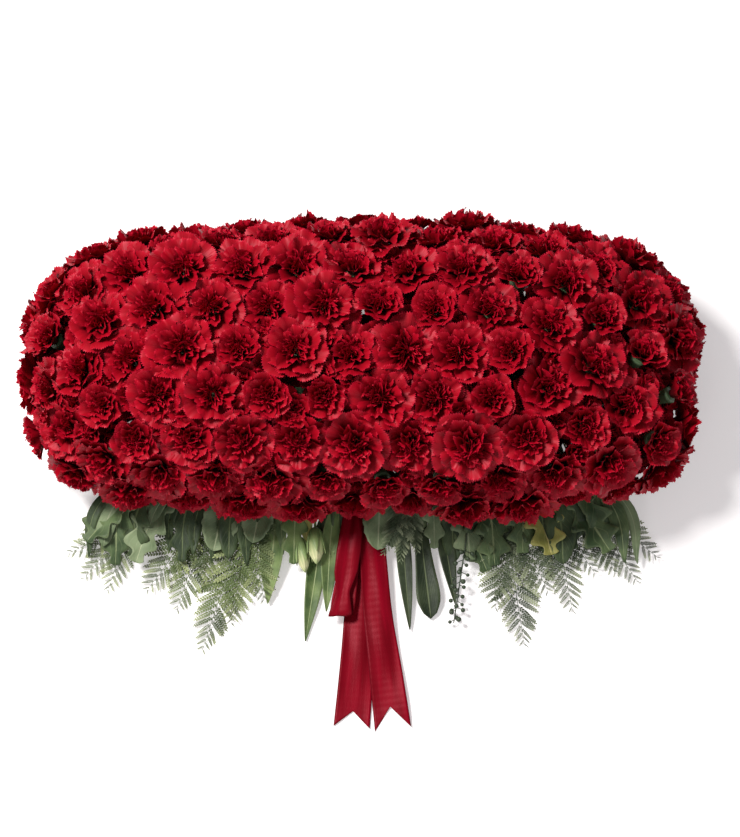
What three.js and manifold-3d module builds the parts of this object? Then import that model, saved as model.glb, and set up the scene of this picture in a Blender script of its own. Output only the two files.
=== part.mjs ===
import * as THREE from "three";
import { mergeVertices } from "three/addons/utils/BufferGeometryUtils.js";
import Module from "manifold-3d";

// Casket spray: a pillow-shaped mound of red carnations whose stems stand in two wet foam blocks.
// The blocks sit in a plastic saddle tray under a hooked cage. Greens and a ribbon trail at the front.
// Millimetres, +Z up, +X along the spray, the front at -Y. Origin at the centre of the tray's pad.

const BLOOMS = 120;
const MOUND_HALF_LENGTH = 343;
const MOUND_HALF_DEPTH = 146;
const MOUND_RISE = 121;
const MOUND_BASE_Z = 66;
const PLAN_POWER = 3.6;
const PROFILE_POWER = 2.4;
const BLOOM_PITCH = 66;
const BLOOM_RADIUS = 34;
const BLOOM_HEIGHT = 24;
const CALYX_LENGTH = 32;
const STEM_RADIUS = 2.5;
const STEM_DEPTH = 20;
const GROUP_SIZE = 6;

const PAD = { x: 464, y: 108, t: 3 };
const TRAY = { x: 234, y: 57, wall: 2.5, floorLow: 3.4, floorTop: 6.4, top: 34, flange: 7.5 };
const FOAM = { low: 6.8, top: 86.8, y: 55, inner: 1.5, outer: 231.5 };
const CAGE = { gap: 0.5, t: 3, w: 6, hoops: [-176, -60, 60, 176] };
const GREEN_ENTRY_Z = 40;

const wasm = await Module();
wasm.setup();

function toSolid(geometry) {
  let g = geometry.clone();
  g.deleteAttribute("normal");
  g.deleteAttribute("uv");
  g = mergeVertices(g, 1e-3);
  const vertProperties = new Float32Array(g.attributes.position.array);
  const triVerts = new Uint32Array(g.index.array);
  return new wasm.Manifold(new wasm.Mesh({ numProp: 3, vertProperties, triVerts }));
}

function toGeometry(solid) {
  const mesh = solid.getMesh();
  const g = new THREE.BufferGeometry();
  const xyz = new Float32Array((mesh.vertProperties.length / mesh.numProp) * 3);
  for (let i = 0; i < xyz.length / 3; i++) {
    for (let k = 0; k < 3; k++) xyz[3 * i + k] = mesh.vertProperties[i * mesh.numProp + k];
  }
  g.setAttribute("position", new THREE.BufferAttribute(xyz, 3));
  g.setIndex(new THREE.BufferAttribute(new Uint32Array(mesh.triVerts), 1));
  g.computeVertexNormals();
  return g;
}

const spray = new THREE.Group();
function addPiece(name, geometry, material) {
  const mesh = new THREE.Mesh(geometry, material);
  mesh.name = name;
  spray.add(mesh);
}

const material = (color, roughness) => new THREE.MeshStandardMaterial({ color, roughness, metalness: 0 });
const petalRed = () => material(0xb30f22, 0.6);
const leafGreen = () => material(0x3c5a38, 0.55);
const fernGreen = () => material(0x6f8f5e, 0.65);
const satin = () => material(0x8e1024, 0.35);

// Repeatable scatter in 0..1 for each index and use.
function scatter(i, k) {
  const s = Math.sin(i * 12.9898 + k * 78.233 + 1.7) * 43758.5453;
  return s - Math.floor(s);
}

// ---------- Mound: the blooms' rim centres, spread evenly over half a rounded block ----------
function moundValue(p) {
  const plan = Math.abs(p.x / MOUND_HALF_LENGTH) ** PLAN_POWER + Math.abs(p.y / MOUND_HALF_DEPTH) ** PLAN_POWER;
  return plan ** (PROFILE_POWER / PLAN_POWER) + Math.abs(p.z / MOUND_RISE) ** PROFILE_POWER;
}

function ontoMound(p) {
  return p.multiplyScalar(moundValue(p) ** (-1 / PROFILE_POWER));
}

function moundNormal(p) {
  const px = Math.abs(p.x / MOUND_HALF_LENGTH);
  const py = Math.abs(p.y / MOUND_HALF_DEPTH);
  const plan = Math.max(px ** PLAN_POWER + py ** PLAN_POWER, 1e-9);
  const k = plan ** (PROFILE_POWER / PLAN_POWER - 1);
  const nx = (k * Math.sign(p.x) * px ** (PLAN_POWER - 1)) / MOUND_HALF_LENGTH;
  const ny = (k * Math.sign(p.y) * py ** (PLAN_POWER - 1)) / MOUND_HALF_DEPTH;
  const nz = (p.z / MOUND_RISE) ** (PROFILE_POWER - 1) / MOUND_RISE;
  return new THREE.Vector3(nx, ny, nz).normalize();
}

const centres = [];
for (let i = 0; i < BLOOMS; i++) {
  const up = 1 - (i + 0.5) / BLOOMS;
  const turn = i * Math.PI * (3 - Math.sqrt(5));
  const flat = Math.sqrt(1 - up * up);
  const x = MOUND_HALF_LENGTH * flat * Math.cos(turn);
  const y = MOUND_HALF_DEPTH * flat * Math.sin(turn);
  centres.push(ontoMound(new THREE.Vector3(x, y, MOUND_RISE * up)));
}
for (let round = 0; round < 2000; round++) {
  const push = centres.map(() => new THREE.Vector3());
  for (let i = 0; i < BLOOMS; i++) {
    for (let j = i + 1; j < BLOOMS; j++) {
      const gap = new THREE.Vector3().subVectors(centres[i], centres[j]);
      const d = gap.length();
      if (d < BLOOM_PITCH) {
        gap.multiplyScalar((0.3 * (BLOOM_PITCH - d)) / d);
        push[i].add(gap);
        push[j].sub(gap);
      }
    }
  }
  centres.forEach((c, i) => {
    const n = moundNormal(c);
    c.addScaledVector(push[i].addScaledVector(n, -push[i].dot(n)), 1);
    c.z = Math.max(c.z, 0);
    for (let step = 0; step < 3; step++) {
      const slope = moundNormal(c);
      const ahead = moundValue(c.clone().addScaledVector(slope, 0.5)) - moundValue(c);
      c.addScaledVector(slope, (0.5 * (1 - moundValue(c))) / ahead);
      c.z = Math.max(c.z, 0);
    }
  });
}

const blooms = centres.map((c, i) => {
  const axis = moundNormal(c);
  axis.x += 0.16 * (scatter(i, 1) - 0.5);
  axis.y += 0.16 * (scatter(i, 2) - 0.5);
  axis.normalize();
  const rim = c.clone().addScaledVector(axis, 7 * (scatter(i, 3) - 0.5));
  rim.z += MOUND_BASE_Z;
  return { index: i, axis, rim, neck: rim.clone().addScaledVector(axis, -CALYX_LENGTH) };
});

// ---------- Stems: each runs from its calyx to the nearest free place on the foam ----------
function foamEntry(neck) {
  const aim = new THREE.Vector3(THREE.MathUtils.clamp(neck.x * 0.7, -205, 205), 0, 52);
  aim.z = THREE.MathUtils.lerp(62, 48, THREE.MathUtils.clamp((neck.z - 90) / 50, 0, 1));
  const way = new THREE.Vector3().subVectors(neck, aim);
  const byTop = (FOAM.top - aim.z) / Math.max(way.z, 1e-6);
  const bySide = FOAM.y / Math.max(Math.abs(way.y), 1e-6);
  const byEnd = (FOAM.outer - Math.abs(aim.x)) / Math.max(Math.abs(way.x), 1e-6);
  const k = Math.min(byTop, bySide, byEnd);
  const face = k === byTop ? "top" : k === bySide ? "side" : "end";
  return { face, at: aim.clone().addScaledVector(way, k) };
}

function clearOf(value, bar, room) {
  return Math.abs(value - bar) < room ? bar + Math.sign(value - bar || 1) * room : value;
}

function settle(bloom) {
  const { at, face } = bloom.entry;
  const span = face === "end" ? [226, 232] : [8, 222];
  const side = Math.sign(at.x || 1);
  if (face !== "end") at.x = side * THREE.MathUtils.clamp(Math.abs(at.x), span[0], span[1]);
  for (const bar of CAGE.hoops) if (face !== "end") at.x = clearOf(at.x, bar, 10);
  if (face === "top") at.y = clearOf(THREE.MathUtils.clamp(at.y, -47, 47), 0, 9);
  if (face === "side") at.z = THREE.MathUtils.clamp(at.z, 56, 79);
  if (face === "end") at.y = clearOf(THREE.MathUtils.clamp(at.y, -46, 46), 0, 3);
  if (face === "end") at.z = THREE.MathUtils.clamp(at.z, 50, 79);
}

for (const bloom of blooms) {
  bloom.entry = foamEntry(bloom.neck);
  settle(bloom);
}
for (let round = 0; round < 200; round++) {
  for (const a of blooms) {
    for (const b of blooms) {
      if (a.index >= b.index) continue;
      const gap = new THREE.Vector3().subVectors(a.entry.at, b.entry.at);
      const d = Math.max(gap.length(), 0.01);
      if (d > 20) continue;
      gap.multiplyScalar((0.25 * (20 - d)) / d);
      if (a.entry.face === "top" && b.entry.face === "top") gap.z = 0;
      a.entry.at.add(gap);
      b.entry.at.sub(gap);
    }
  }
  for (const bloom of blooms) {
    const { at, face } = bloom.entry;
    if (face === "top") at.z = FOAM.top;
    if (face === "side") at.y = Math.sign(bloom.neck.y) * FOAM.y;
    if (face === "end") at.x = Math.sign(bloom.neck.x) * FOAM.outer;
    settle(bloom);
  }
}
for (const bloom of blooms) {
  const inward = new THREE.Vector3().subVectors(bloom.entry.at, bloom.neck).normalize();
  bloom.tip = bloom.entry.at.clone().addScaledVector(inward, STEM_DEPTH);
}

// A straight bar between two points, with a regular section.
function bar(from, to, radius, sides) {
  const way = new THREE.Vector3().subVectors(to, from);
  const g = new THREE.CylinderGeometry(radius, radius, way.length(), sides);
  g.applyQuaternion(new THREE.Quaternion().setFromUnitVectors(new THREE.Vector3(0, 1, 0), way.clone().normalize()));
  const mid = new THREE.Vector3().addVectors(from, to).multiplyScalar(0.5);
  return g.translate(mid.x, mid.y, mid.z);
}

// Head of one carnation: calyx, rim and low dome, turned about the bloom's axis.
function bloomHead(bloom) {
  const size = 0.99 + 0.05 * scatter(bloom.index, 4);
  const profile = [
    [0, -CALYX_LENGTH - 2], [BLOOM_RADIUS * size, -2], [BLOOM_RADIUS * 0.66 * size, BLOOM_HEIGHT * 0.8],
    [0, BLOOM_HEIGHT],
  ].map(([r, h]) => new THREE.Vector2(r, h));
  const g = new THREE.LatheGeometry(profile, 6);
  g.rotateY(scatter(bloom.index, 5) * Math.PI);
  g.applyQuaternion(new THREE.Quaternion().setFromUnitVectors(new THREE.Vector3(0, 1, 0), bloom.axis));
  return g.translate(bloom.rim.x, bloom.rim.y, bloom.rim.z);
}

// Neighbouring blooms are held in groups: their petals are pressed together.
const free = new Set(blooms.map((b) => b.index));
const groups = [];
while (free.size) {
  const first = [...free].sort((a, b) => blooms[a].rim.x - blooms[b].rim.x)[0];
  const group = [first];
  free.delete(first);
  while (group.length < GROUP_SIZE) {
    let best = null;
    let bestScore = 90;
    for (const j of free) {
      const d = Math.min(...group.map((i) => blooms[i].rim.distanceTo(blooms[j].rim)));
      const far = Math.max(...group.map((i) => blooms[i].rim.distanceTo(blooms[j].rim)));
      if (d < 59 && d * 0.6 + far * 0.4 < bestScore) {
        best = j;
        bestScore = d * 0.6 + far * 0.4;
      }
    }
    if (best === null) break;
    group.push(best);
    free.delete(best);
  }
  groups.push(group);
}
for (const group of groups) {
  if (group.length > 4) continue;
  for (const i of [...group]) {
    const near = groups.filter((g) => {
      const touches = g.some((j) => blooms[j].rim.distanceTo(blooms[i].rim) < 59);
      return g !== group && g.length > 1 && g.length < 8 && touches;
    });
    near.sort((g, h) => g.length - h.length);
    if (near.length === 0) continue;
    near[0].push(i);
    group.splice(group.indexOf(i), 1);
  }
}
for (let g = groups.length - 1; g >= 0; g--) if (groups[g].length === 0) groups.splice(g, 1);
const groupOf = new Map();
groups.forEach((group, g) => group.forEach((i) => groupOf.set(i, g)));

// Where two groups meet, petals are pressed flat against a plane halfway between the blooms.
function pressedHead(bloom) {
  let solid = toSolid(bloomHead(bloom));
  for (const other of blooms) {
    if (groupOf.get(other.index) === groupOf.get(bloom.index)) continue;
    const way = new THREE.Vector3().subVectors(other.rim, bloom.rim);
    const d = way.length();
    if (d > 2.2 * BLOOM_RADIUS + 8) continue;
    way.normalize();
    const slab = new THREE.BoxGeometry(200, 200, 100);
    slab.translate(0, 0, 50 + d / 2 - 0.25);
    slab.applyQuaternion(new THREE.Quaternion().setFromUnitVectors(new THREE.Vector3(0, 0, 1), way));
    slab.translate(bloom.rim.x, bloom.rim.y, bloom.rim.z);
    solid = solid.subtract(toSolid(slab));
  }
  return solid;
}

groups.forEach((group, g) => {
  let solid = null;
  for (const i of group) {
    const bloom = blooms[i];
    const head = pressedHead(bloom);
    const inCalyx = bloom.neck.clone().addScaledVector(bloom.axis, 4);
    const whole = head.add(toSolid(bar(inCalyx, bloom.tip, STEM_RADIUS, 4)));
    solid = solid ? solid.add(whole) : whole;
  }
  addPiece(`carnations_${String(g + 1).padStart(2, "0")}`, toGeometry(solid), petalRed());
});

// ---------- Greens: strips laid along a curve, wide and narrow by a rule ----------
function curveOf(points) {
  return new THREE.CatmullRomCurve3(points.map((p) => new THREE.Vector3(...p)));
}

function alongCurve(geometry, curve, widthAt, thicknessAt) {
  const p = geometry.attributes.position;
  for (let i = 0; i < p.count; i++) {
    const s = THREE.MathUtils.clamp(p.getY(i) + 0.5, 0, 1);
    const at = curve.getPointAt(s);
    const t = curve.getTangentAt(s);
    const side = new THREE.Vector3(0, 0, 1).cross(t).normalize().negate();
    const up = new THREE.Vector3().crossVectors(side, t).normalize();
    const w = p.getX(i) * widthAt(s);
    const h = p.getZ(i) * thicknessAt(s);
    p.setXYZ(i, at.x + side.x * w + up.x * h, at.y + side.y * w + up.y * h, at.z + side.z * w + up.z * h);
  }
  return geometry;
}

function strip(curve, steps, widthAt, thicknessAt) {
  return alongCurve(new THREE.BoxGeometry(1, 1, 1, 1, steps, 1), curve, widthAt, thicknessAt);
}

const stemHoles = [];
function greenPath(x0, x1, y1, z1, x2, y2, z2) {
  const start = [x0, -FOAM.y + 22, GREEN_ENTRY_Z];
  stemHoles.push(new THREE.Vector3(x0, -FOAM.y, GREEN_ENTRY_Z));
  const out = [x0, -FOAM.y - 16, GREEN_ENTRY_Z];
  return curveOf([start, [x0, -FOAM.y, GREEN_ENTRY_Z], out, [x1, y1, z1], [x2, y2, z2]]);
}

// Leaf blade over the outer part of its stalk. Lobes make the edge go in and out.
function leaf(name, path, blade, width, lobes) {
  const widthAt = (s) => {
    if (s < blade) return 2.6;
    const k = (s - blade) / (1 - blade);
    const body = Math.sin(Math.PI * Math.min(0.04 + k * 0.95, 0.99)) ** 0.7;
    const edge = lobes ? 1 - 0.3 * (Math.round(k * lobes * 1.5) % 2) : 1;
    return Math.max(width * body * edge, 1.2);
  };
  const thicknessAt = (s) => (s < blade ? 2.4 : 1.3);
  const steps = lobes ? 12 : 8;
  addPiece(name, toGeometry(toSolid(strip(path, steps, widthAt, thicknessAt))), leafGreen());
}

// Frond: a flat midrib whose edge runs out and in along each pair of leaflets, shorter to the tip.
function frond(name, path, from, reach) {
  const steps = 18;
  const widthAt = (s) => {
    const i = Math.round(s * steps);
    const k = (s - from) / (1 - from);
    if (k < 0 || i === steps) return 2;
    return i % 2 ? 2 * reach * Math.sin(Math.PI * (0.25 + 0.7 * k)) : 3;
  };
  addPiece(name, toGeometry(toSolid(strip(path, steps, widthAt, (s) => 2.2 - s))), fernGreen());
}

frond("fern_frond_1", greenPath(-196, -262, -168, 9, -296, -212, 3), 0.54, 22);
frond("fern_frond_2", greenPath(-150, -176, -178, 8, -196, -246, 2.5), 0.52, 24);
frond("fern_frond_3", greenPath(-108, -140, -196, 9, -168, -290, 2.5), 0.52, 26);
frond("fern_frond_4", greenPath(150, 158, -182, 8, 170, -284, 2.5), 0.52, 26);
frond("fern_frond_5", greenPath(186, 210, -176, 8, 222, -248, 2.5), 0.52, 22);
frond("fern_frond_6", greenPath(214, 262, -166, 9, 292, -216, 3), 0.54, 22);

leaf("lobed_leaf_1", greenPath(-210, -272, -150, 22, -292, -176, 20), 0.62, 34, 4);
leaf("lobed_leaf_2", greenPath(-166, -222, -150, 21, -240, -198, 16), 0.6, 36, 4);
leaf("round_leaf_1", greenPath(-128, -150, -150, 22, -158, -186, 18), 0.66, 34, 0);
leaf("round_leaf_2", greenPath(-94, -110, -146, 23, -116, -178, 21), 0.66, 30, 0);
leaf("lance_leaf_1", greenPath(-82, -92, -150, 18, -100, -240, 5), 0.5, 20, 0);
leaf("lance_leaf_2", greenPath(-31, -43, -156, 9, -60, -280, 2.5), 0.45, 17, 0);
leaf("lance_leaf_3", greenPath(-14, -32, -156, 22, -38, -250, 10), 0.48, 16, 0);
leaf("round_leaf_3", greenPath(24, 18, -146, 26, 16, -186, 22.5), 0.64, 34, 0);
leaf("strap_leaf_1", greenPath(40, 42, -156, 16, 50, -268, 4), 0.45, 13, 0);
leaf("strap_leaf_2", greenPath(66, 62, -154, 16, 72, -256, 4), 0.45, 20, 0);
leaf("strap_leaf_3", greenPath(84, 86, -154, 16, 98, -240, 4), 0.48, 16, 0);
leaf("lobed_leaf_3", greenPath(104, 112, -150, 20, 132, -206, 10), 0.58, 30, 4);
leaf("lobed_leaf_4", greenPath(168, 190, -148, 22, 200, -190, 18), 0.6, 36, 4);
leaf("lobed_leaf_5", greenPath(202, 240, -148, 22, 262, -186, 18), 0.6, 36, 4);

// Closed carnation buds: a tapered green calyx on a thin stalk, petals just showing at the tip.
function bud(name, path, length, radius) {
  const at = path.getPointAt(1);
  const t = path.getTangentAt(1);
  const profile = [[0, -4], [1.8, -4], [radius * 0.8, 2], [radius, length * 0.45], [radius * 0.7, length * 0.85], [0, length]];
  const g = new THREE.LatheGeometry(profile.map(([r, h]) => new THREE.Vector2(r, h)), 6);
  g.applyQuaternion(new THREE.Quaternion().setFromUnitVectors(new THREE.Vector3(0, 1, 0), t));
  g.translate(at.x, at.y, at.z);
  const stalk = strip(path, 6, () => 2.6, () => 2.6);
  addPiece(name, toGeometry(toSolid(g).add(toSolid(stalk))), material(0x9fae72, 0.55));
}
bud("carnation_bud_1", greenPath(-66, -68, -150, 15, -66, -172, 13), 36, 6.5);
bud("carnation_bud_2", greenPath(-46, -50, -146, 24, -50, -164, 23), 38, 7.5);
bud("carnation_bud_3", greenPath(-22, -28, -138, 10, -28.5, -164, 8.5), 36, 6.5);

// Seeded sprig: a thin stalk with short side twigs, each ending in a small round seed head.
{
  const path = greenPath(124, 112, -160, 24, 96, -262, 8);
  let solid = toSolid(strip(path, 10, () => 2.0, () => 2.0));
  for (let i = 0; i < 7; i++) {
    const at = path.getPointAt(0.8 + 0.032 * i);
    const hand = i % 2 ? 1 : -1;
    const end = at.clone().add(new THREE.Vector3(hand * (4 + 3 * scatter(i, 7)), -3, 0.4));
    solid = solid.add(toSolid(bar(at, end, 0.7, 4)));
    const seed = new THREE.OctahedronGeometry(3, 0);
    seed.translate(end.x, end.y, end.z);
    solid = solid.add(toSolid(seed));
  }
  addPiece("seeded_sprig", toGeometry(solid), material(0x26331f, 0.5));
}

// ---------- Short leaves that cover the tray at the back and the ends ----------
const backHoles = [];
function coverLeaf(name, from, mid, end, width) {
  backHoles.push({ at: new THREE.Vector3(...from), out: new THREE.Vector3(...mid) });
  const a = new THREE.Vector3(...from);
  const flat = new THREE.Vector3(mid[0] - from[0], mid[1] - from[1], 0).normalize();
  const inside = a.clone().addScaledVector(flat, -18);
  const over = a.clone().addScaledVector(flat, 16);
  const path = curveOf([inside.toArray(), from, over.toArray(), mid, end]);
  leaf(name, path, 0.5, width, 4);
}
coverLeaf("back_leaf_1", [-190, 55, 40], [-186, 120, 26], [-182, 176, 12], 44);
coverLeaf("back_leaf_2", [-72, 55, 40], [-68, 120, 26], [-64, 180, 12], 44);
coverLeaf("back_leaf_3", [72, 55, 40], [68, 120, 26], [64, 180, 12], 44);
coverLeaf("back_leaf_4", [190, 55, 40], [186, 120, 26], [182, 176, 12], 44);
coverLeaf("end_leaf_left", [-231.5, 6, 40], [-290, 6, 26], [-344, 6, 12], 44);
coverLeaf("end_leaf_right", [231.5, 6, 40], [290, 6, 26], [344, 6, 12], 44);

// ---------- Ribbon: satin band held by a wooden pick, two notched tails and a folded loop ----------
const RIBBON_WIDTH = 34;
function ribbon(name, path, width, steps, notch) {
  const g = alongCurve(new THREE.BoxGeometry(1, 1, 1, 2, steps, 1), path, () => width, () => 1.0);
  if (notch) {
    const p = g.attributes.position;
    const end = path.getPointAt(1);
    const t = path.getTangentAt(1);
    for (let i = 0; i < p.count; i++) {
      const v = new THREE.Vector3().fromBufferAttribute(p, i);
      const back = v.clone().sub(end).dot(t);
      const off = v.clone().sub(end).addScaledVector(t, -back).length();
      if (Math.abs(back) < 0.5 && off < 3) p.setXYZ(i, v.x - t.x * notch, v.y - t.y * notch, v.z);
    }
  }
  addPiece(name, toGeometry(toSolid(g)), satin());
}
const leftTail = curveOf([[0, -96, 26], [-2, -150, 18], [-1, -200, 9.5], [-3, -250, 3.5], [-6, -310, 1], [-11, -372, 1]]);
const rightTail = curveOf([[4, -96, 30], [8, -150, 23], [12, -200, 15], [16, -250, 8.5], [24, -310, 3.2], [32, -374, 1.2]]);
const loop = curveOf([[-4, -98, 33], [-10, -150, 27], [-15, -200, 23], [-19, -240, 20], [-22, -258, 15]]);
ribbon("ribbon_tail_left", leftTail, RIBBON_WIDTH, 18, 14);
ribbon("ribbon_tail_right", rightTail, RIBBON_WIDTH, 18, 14);
ribbon("ribbon_loop", loop, 22, 10, 0);

const pickFrom = new THREE.Vector3(9, -FOAM.y + 22, GREEN_ENTRY_Z);
const pickTo = new THREE.Vector3(9, -112, GREEN_ENTRY_Z - 4);
stemHoles.push(new THREE.Vector3(9, -FOAM.y, GREEN_ENTRY_Z));
addPiece("ribbon_pick", bar(pickFrom, pickTo, 1.6, 6), material(0xb08a5a, 0.7));

// ---------- Holder: pad, tray, two foam blocks and the cage over them ----------
const pad = new THREE.BoxGeometry(PAD.x, PAD.y, PAD.t);
pad.translate(0, 0, PAD.t / 2);
addPiece("saddle_pad", pad, material(0x1c1c1c, 0.9));

function block(x0, x1, y0, y1, z0, z1) {
  const g = new THREE.BoxGeometry(x1 - x0, y1 - y0, z1 - z0);
  return g.translate((x0 + x1) / 2, (y0 + y1) / 2, (z0 + z1) / 2);
}
{
  const X = TRAY.x + TRAY.wall;
  const Y = TRAY.y + TRAY.wall;
  const F = TRAY.flange;
  let tray = toSolid(block(-X, X, -Y, Y, TRAY.floorLow, TRAY.top));
  tray = tray.add(toSolid(block(-X - F, X + F, -Y - F, Y + F, TRAY.top - 2.5, TRAY.top)));
  tray = tray.subtract(toSolid(block(-TRAY.x, TRAY.x, -TRAY.y, TRAY.y, TRAY.floorTop, TRAY.top + 5)));
  addPiece("saddle_tray", toGeometry(tray), material(0x23402a, 0.45));
}

// Each stem's hole is a little wider than the stem and stops just past its cut end.
function bored(solid, x0, x1) {
  for (const bloom of blooms) {
    const way = new THREE.Vector3().subVectors(bloom.tip, bloom.neck).normalize();
    const from = bloom.entry.at.clone().addScaledVector(way, -14);
    const to = bloom.tip.clone().addScaledVector(way, 0.5);
    if (to.x < x0 - 4 || to.x > x1 + 4) continue;
    solid = solid.subtract(toSolid(bar(from, to, STEM_RADIUS + 1.3, 4)));
  }
  for (const at of stemHoles) {
    if (at.x < x0 || at.x > x1) continue;
    const from = at.clone().setY(at.y - 6);
    solid = solid.subtract(toSolid(bar(from, at.clone().setY(at.y + 22.6), 3, 6)));
  }
  for (const { at, out } of backHoles) {
    if (at.x < x0 - 1 || at.x > x1 + 1) continue;
    const way = new THREE.Vector3(out.x - at.x, out.y - at.y, 0).normalize();
    const from = at.clone().addScaledVector(way, 6);
    solid = solid.subtract(toSolid(bar(from, at.clone().addScaledVector(way, -18.6), 2.6, 6)));
  }
  return solid;
}
for (const [name, x0, x1] of [["foam_block_left", -FOAM.outer, -FOAM.inner], ["foam_block_right", FOAM.inner, FOAM.outer]]) {
  const foam = bored(toSolid(block(x0, x1, -FOAM.y, FOAM.y, FOAM.low, FOAM.top)), x0, x1);
  addPiece(name, toGeometry(foam), material(0x2f5a34, 0.95));
}

{
  const inY = TRAY.y + TRAY.wall + TRAY.flange + CAGE.gap;
  const outY = inY + CAGE.t;
  const inZ = FOAM.top + CAGE.gap;
  const outZ = inZ + CAGE.t;
  const hookTop = TRAY.top - 2.5 - CAGE.gap;
  const hookLow = hookTop - CAGE.t;
  const half = [
    [outY, hookLow], [outY, TRAY.top + 8], [FOAM.y + CAGE.gap + CAGE.t, TRAY.top + 20],
    [FOAM.y + CAGE.gap + CAGE.t, outZ],
  ];
  const inner = [
    [FOAM.y + CAGE.gap, inZ], [FOAM.y + CAGE.gap, TRAY.top + 18.5], [inY, TRAY.top + 6.5], [inY, hookTop],
    [inY - 4, hookTop], [inY - 4, hookLow],
  ];
  const outline = [...half, ...half.slice().reverse().map(([y, z]) => [-y, z])];
  const back = [...inner.slice().reverse().map(([y, z]) => [-y, z]), ...inner];
  const shape = new THREE.Shape([...outline, ...back].map(([y, z]) => new THREE.Vector2(y, z)));
  const ridge = block(CAGE.hoops[0], CAGE.hoops[3], -CAGE.w / 2, CAGE.w / 2, inZ + 0.6, outZ + 0.8);
  let cage = toSolid(ridge);
  for (const x of CAGE.hoops) {
    const g = new THREE.ExtrudeGeometry(shape, { depth: CAGE.w, bevelEnabled: false });
    g.translate(0, 0, -CAGE.w / 2);
    g.rotateX(Math.PI / 2);
    g.rotateZ(Math.PI / 2);
    g.translate(x, 0, 0);
    cage = cage.add(toSolid(g));
  }
  addPiece("foam_cage", toGeometry(cage), material(0x2c4a30, 0.5));
}

export default spray;
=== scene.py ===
import bpy
import math
import numpy as np
from mathutils import Matrix, Vector


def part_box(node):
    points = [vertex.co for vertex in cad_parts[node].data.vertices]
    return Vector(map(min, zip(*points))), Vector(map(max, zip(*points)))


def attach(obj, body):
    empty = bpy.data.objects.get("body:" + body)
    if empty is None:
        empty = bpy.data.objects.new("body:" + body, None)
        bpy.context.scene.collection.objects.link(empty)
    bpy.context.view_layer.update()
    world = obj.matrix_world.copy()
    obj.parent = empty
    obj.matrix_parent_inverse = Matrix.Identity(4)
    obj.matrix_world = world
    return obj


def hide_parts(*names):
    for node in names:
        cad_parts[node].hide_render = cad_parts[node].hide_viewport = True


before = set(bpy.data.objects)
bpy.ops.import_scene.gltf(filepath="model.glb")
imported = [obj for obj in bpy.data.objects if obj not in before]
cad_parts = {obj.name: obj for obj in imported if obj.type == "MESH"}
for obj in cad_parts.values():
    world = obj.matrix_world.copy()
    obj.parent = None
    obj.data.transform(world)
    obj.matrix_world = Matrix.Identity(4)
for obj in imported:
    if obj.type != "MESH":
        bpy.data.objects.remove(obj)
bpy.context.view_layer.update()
for old in list(bpy.data.lights):
    bpy.data.lights.remove(old)


# ---------- Camera, floor and studio lamps ----------
# The spray lies on a white table and is looked down on, a little from the front.
# A large soft lamp stands at the upper left, with a weak fill at the right.
look_down = math.radians(70)
aim = Vector((0.008, -0.061, 0.085))
toward = Vector((0, -math.cos(look_down), math.sin(look_down)))
lens = bpy.data.cameras.new("camera")
lens.lens = 100
lens.sensor_width = 36
lens.clip_end = 20
camera = bpy.data.objects.new("camera", lens)
width_seen = 0.879
camera.location = aim + toward * (width_seen * lens.lens / lens.sensor_width)
camera.rotation_euler = (-toward).to_track_quat("-Z", "Y").to_euler()
bpy.context.collection.objects.link(camera)
bpy.context.scene.camera = camera


def lamp(name, place, at, size, power, tint):
    data = bpy.data.lights.new(name, "AREA")
    data.shape = "DISK"
    data.size, data.energy, data.color = size, power, tint
    ob = bpy.data.objects.new(name, data)
    ob.location = place
    ob.rotation_euler = (Vector(at) - Vector(place)).to_track_quat("-Z", "Y").to_euler()
    bpy.context.collection.objects.link(ob)


lamp("key", (-1.3, 0.5, 2.3), (0, 0, 0.1), 0.75, 94, (1.0, 0.975, 0.95))
lamp("fill", (1.6, -1.6, 1.8), (0, 0, 0.1), 1.2, 9, (0.95, 0.97, 1.0))
lamp("front", (-0.5, -2.2, 1.8), (0, 0, 0.05), 0.9, 7, (1.0, 0.98, 0.96))

world = bpy.data.worlds.new("studio")
world.use_nodes = True
sky = world.node_tree.nodes["Background"].inputs
sky["Color"].default_value = (0.97, 0.97, 1.0, 1)
sky["Strength"].default_value = 0.25
bpy.context.scene.world = world
bpy.context.scene.view_settings.view_transform = "Standard"


class Sum:
    """A socket that takes part in sums: each operator adds a Math node."""

    def __init__(self, bench, socket):
        self.bench, self.socket = bench, socket

    def _math(self, operation, *values):
        return self.bench.add("ShaderNodeMath", {"operation": operation}, dict(enumerate(values)))

    def __add__(self, other):
        return self._math("ADD", self, other)

    def __sub__(self, other):
        return self._math("SUBTRACT", self, other)

    def __mul__(self, other):
        return self._math("MULTIPLY", self, other)

    def __truediv__(self, other):
        return self._math("DIVIDE", self, other)

    def __pow__(self, other):
        return self._math("POWER", self, other)

    def __rsub__(self, other):
        return self._math("SUBTRACT", other, self)

    def __rtruediv__(self, other):
        return self._math("DIVIDE", other, self)

    __radd__, __rmul__ = __add__, __mul__


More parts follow.
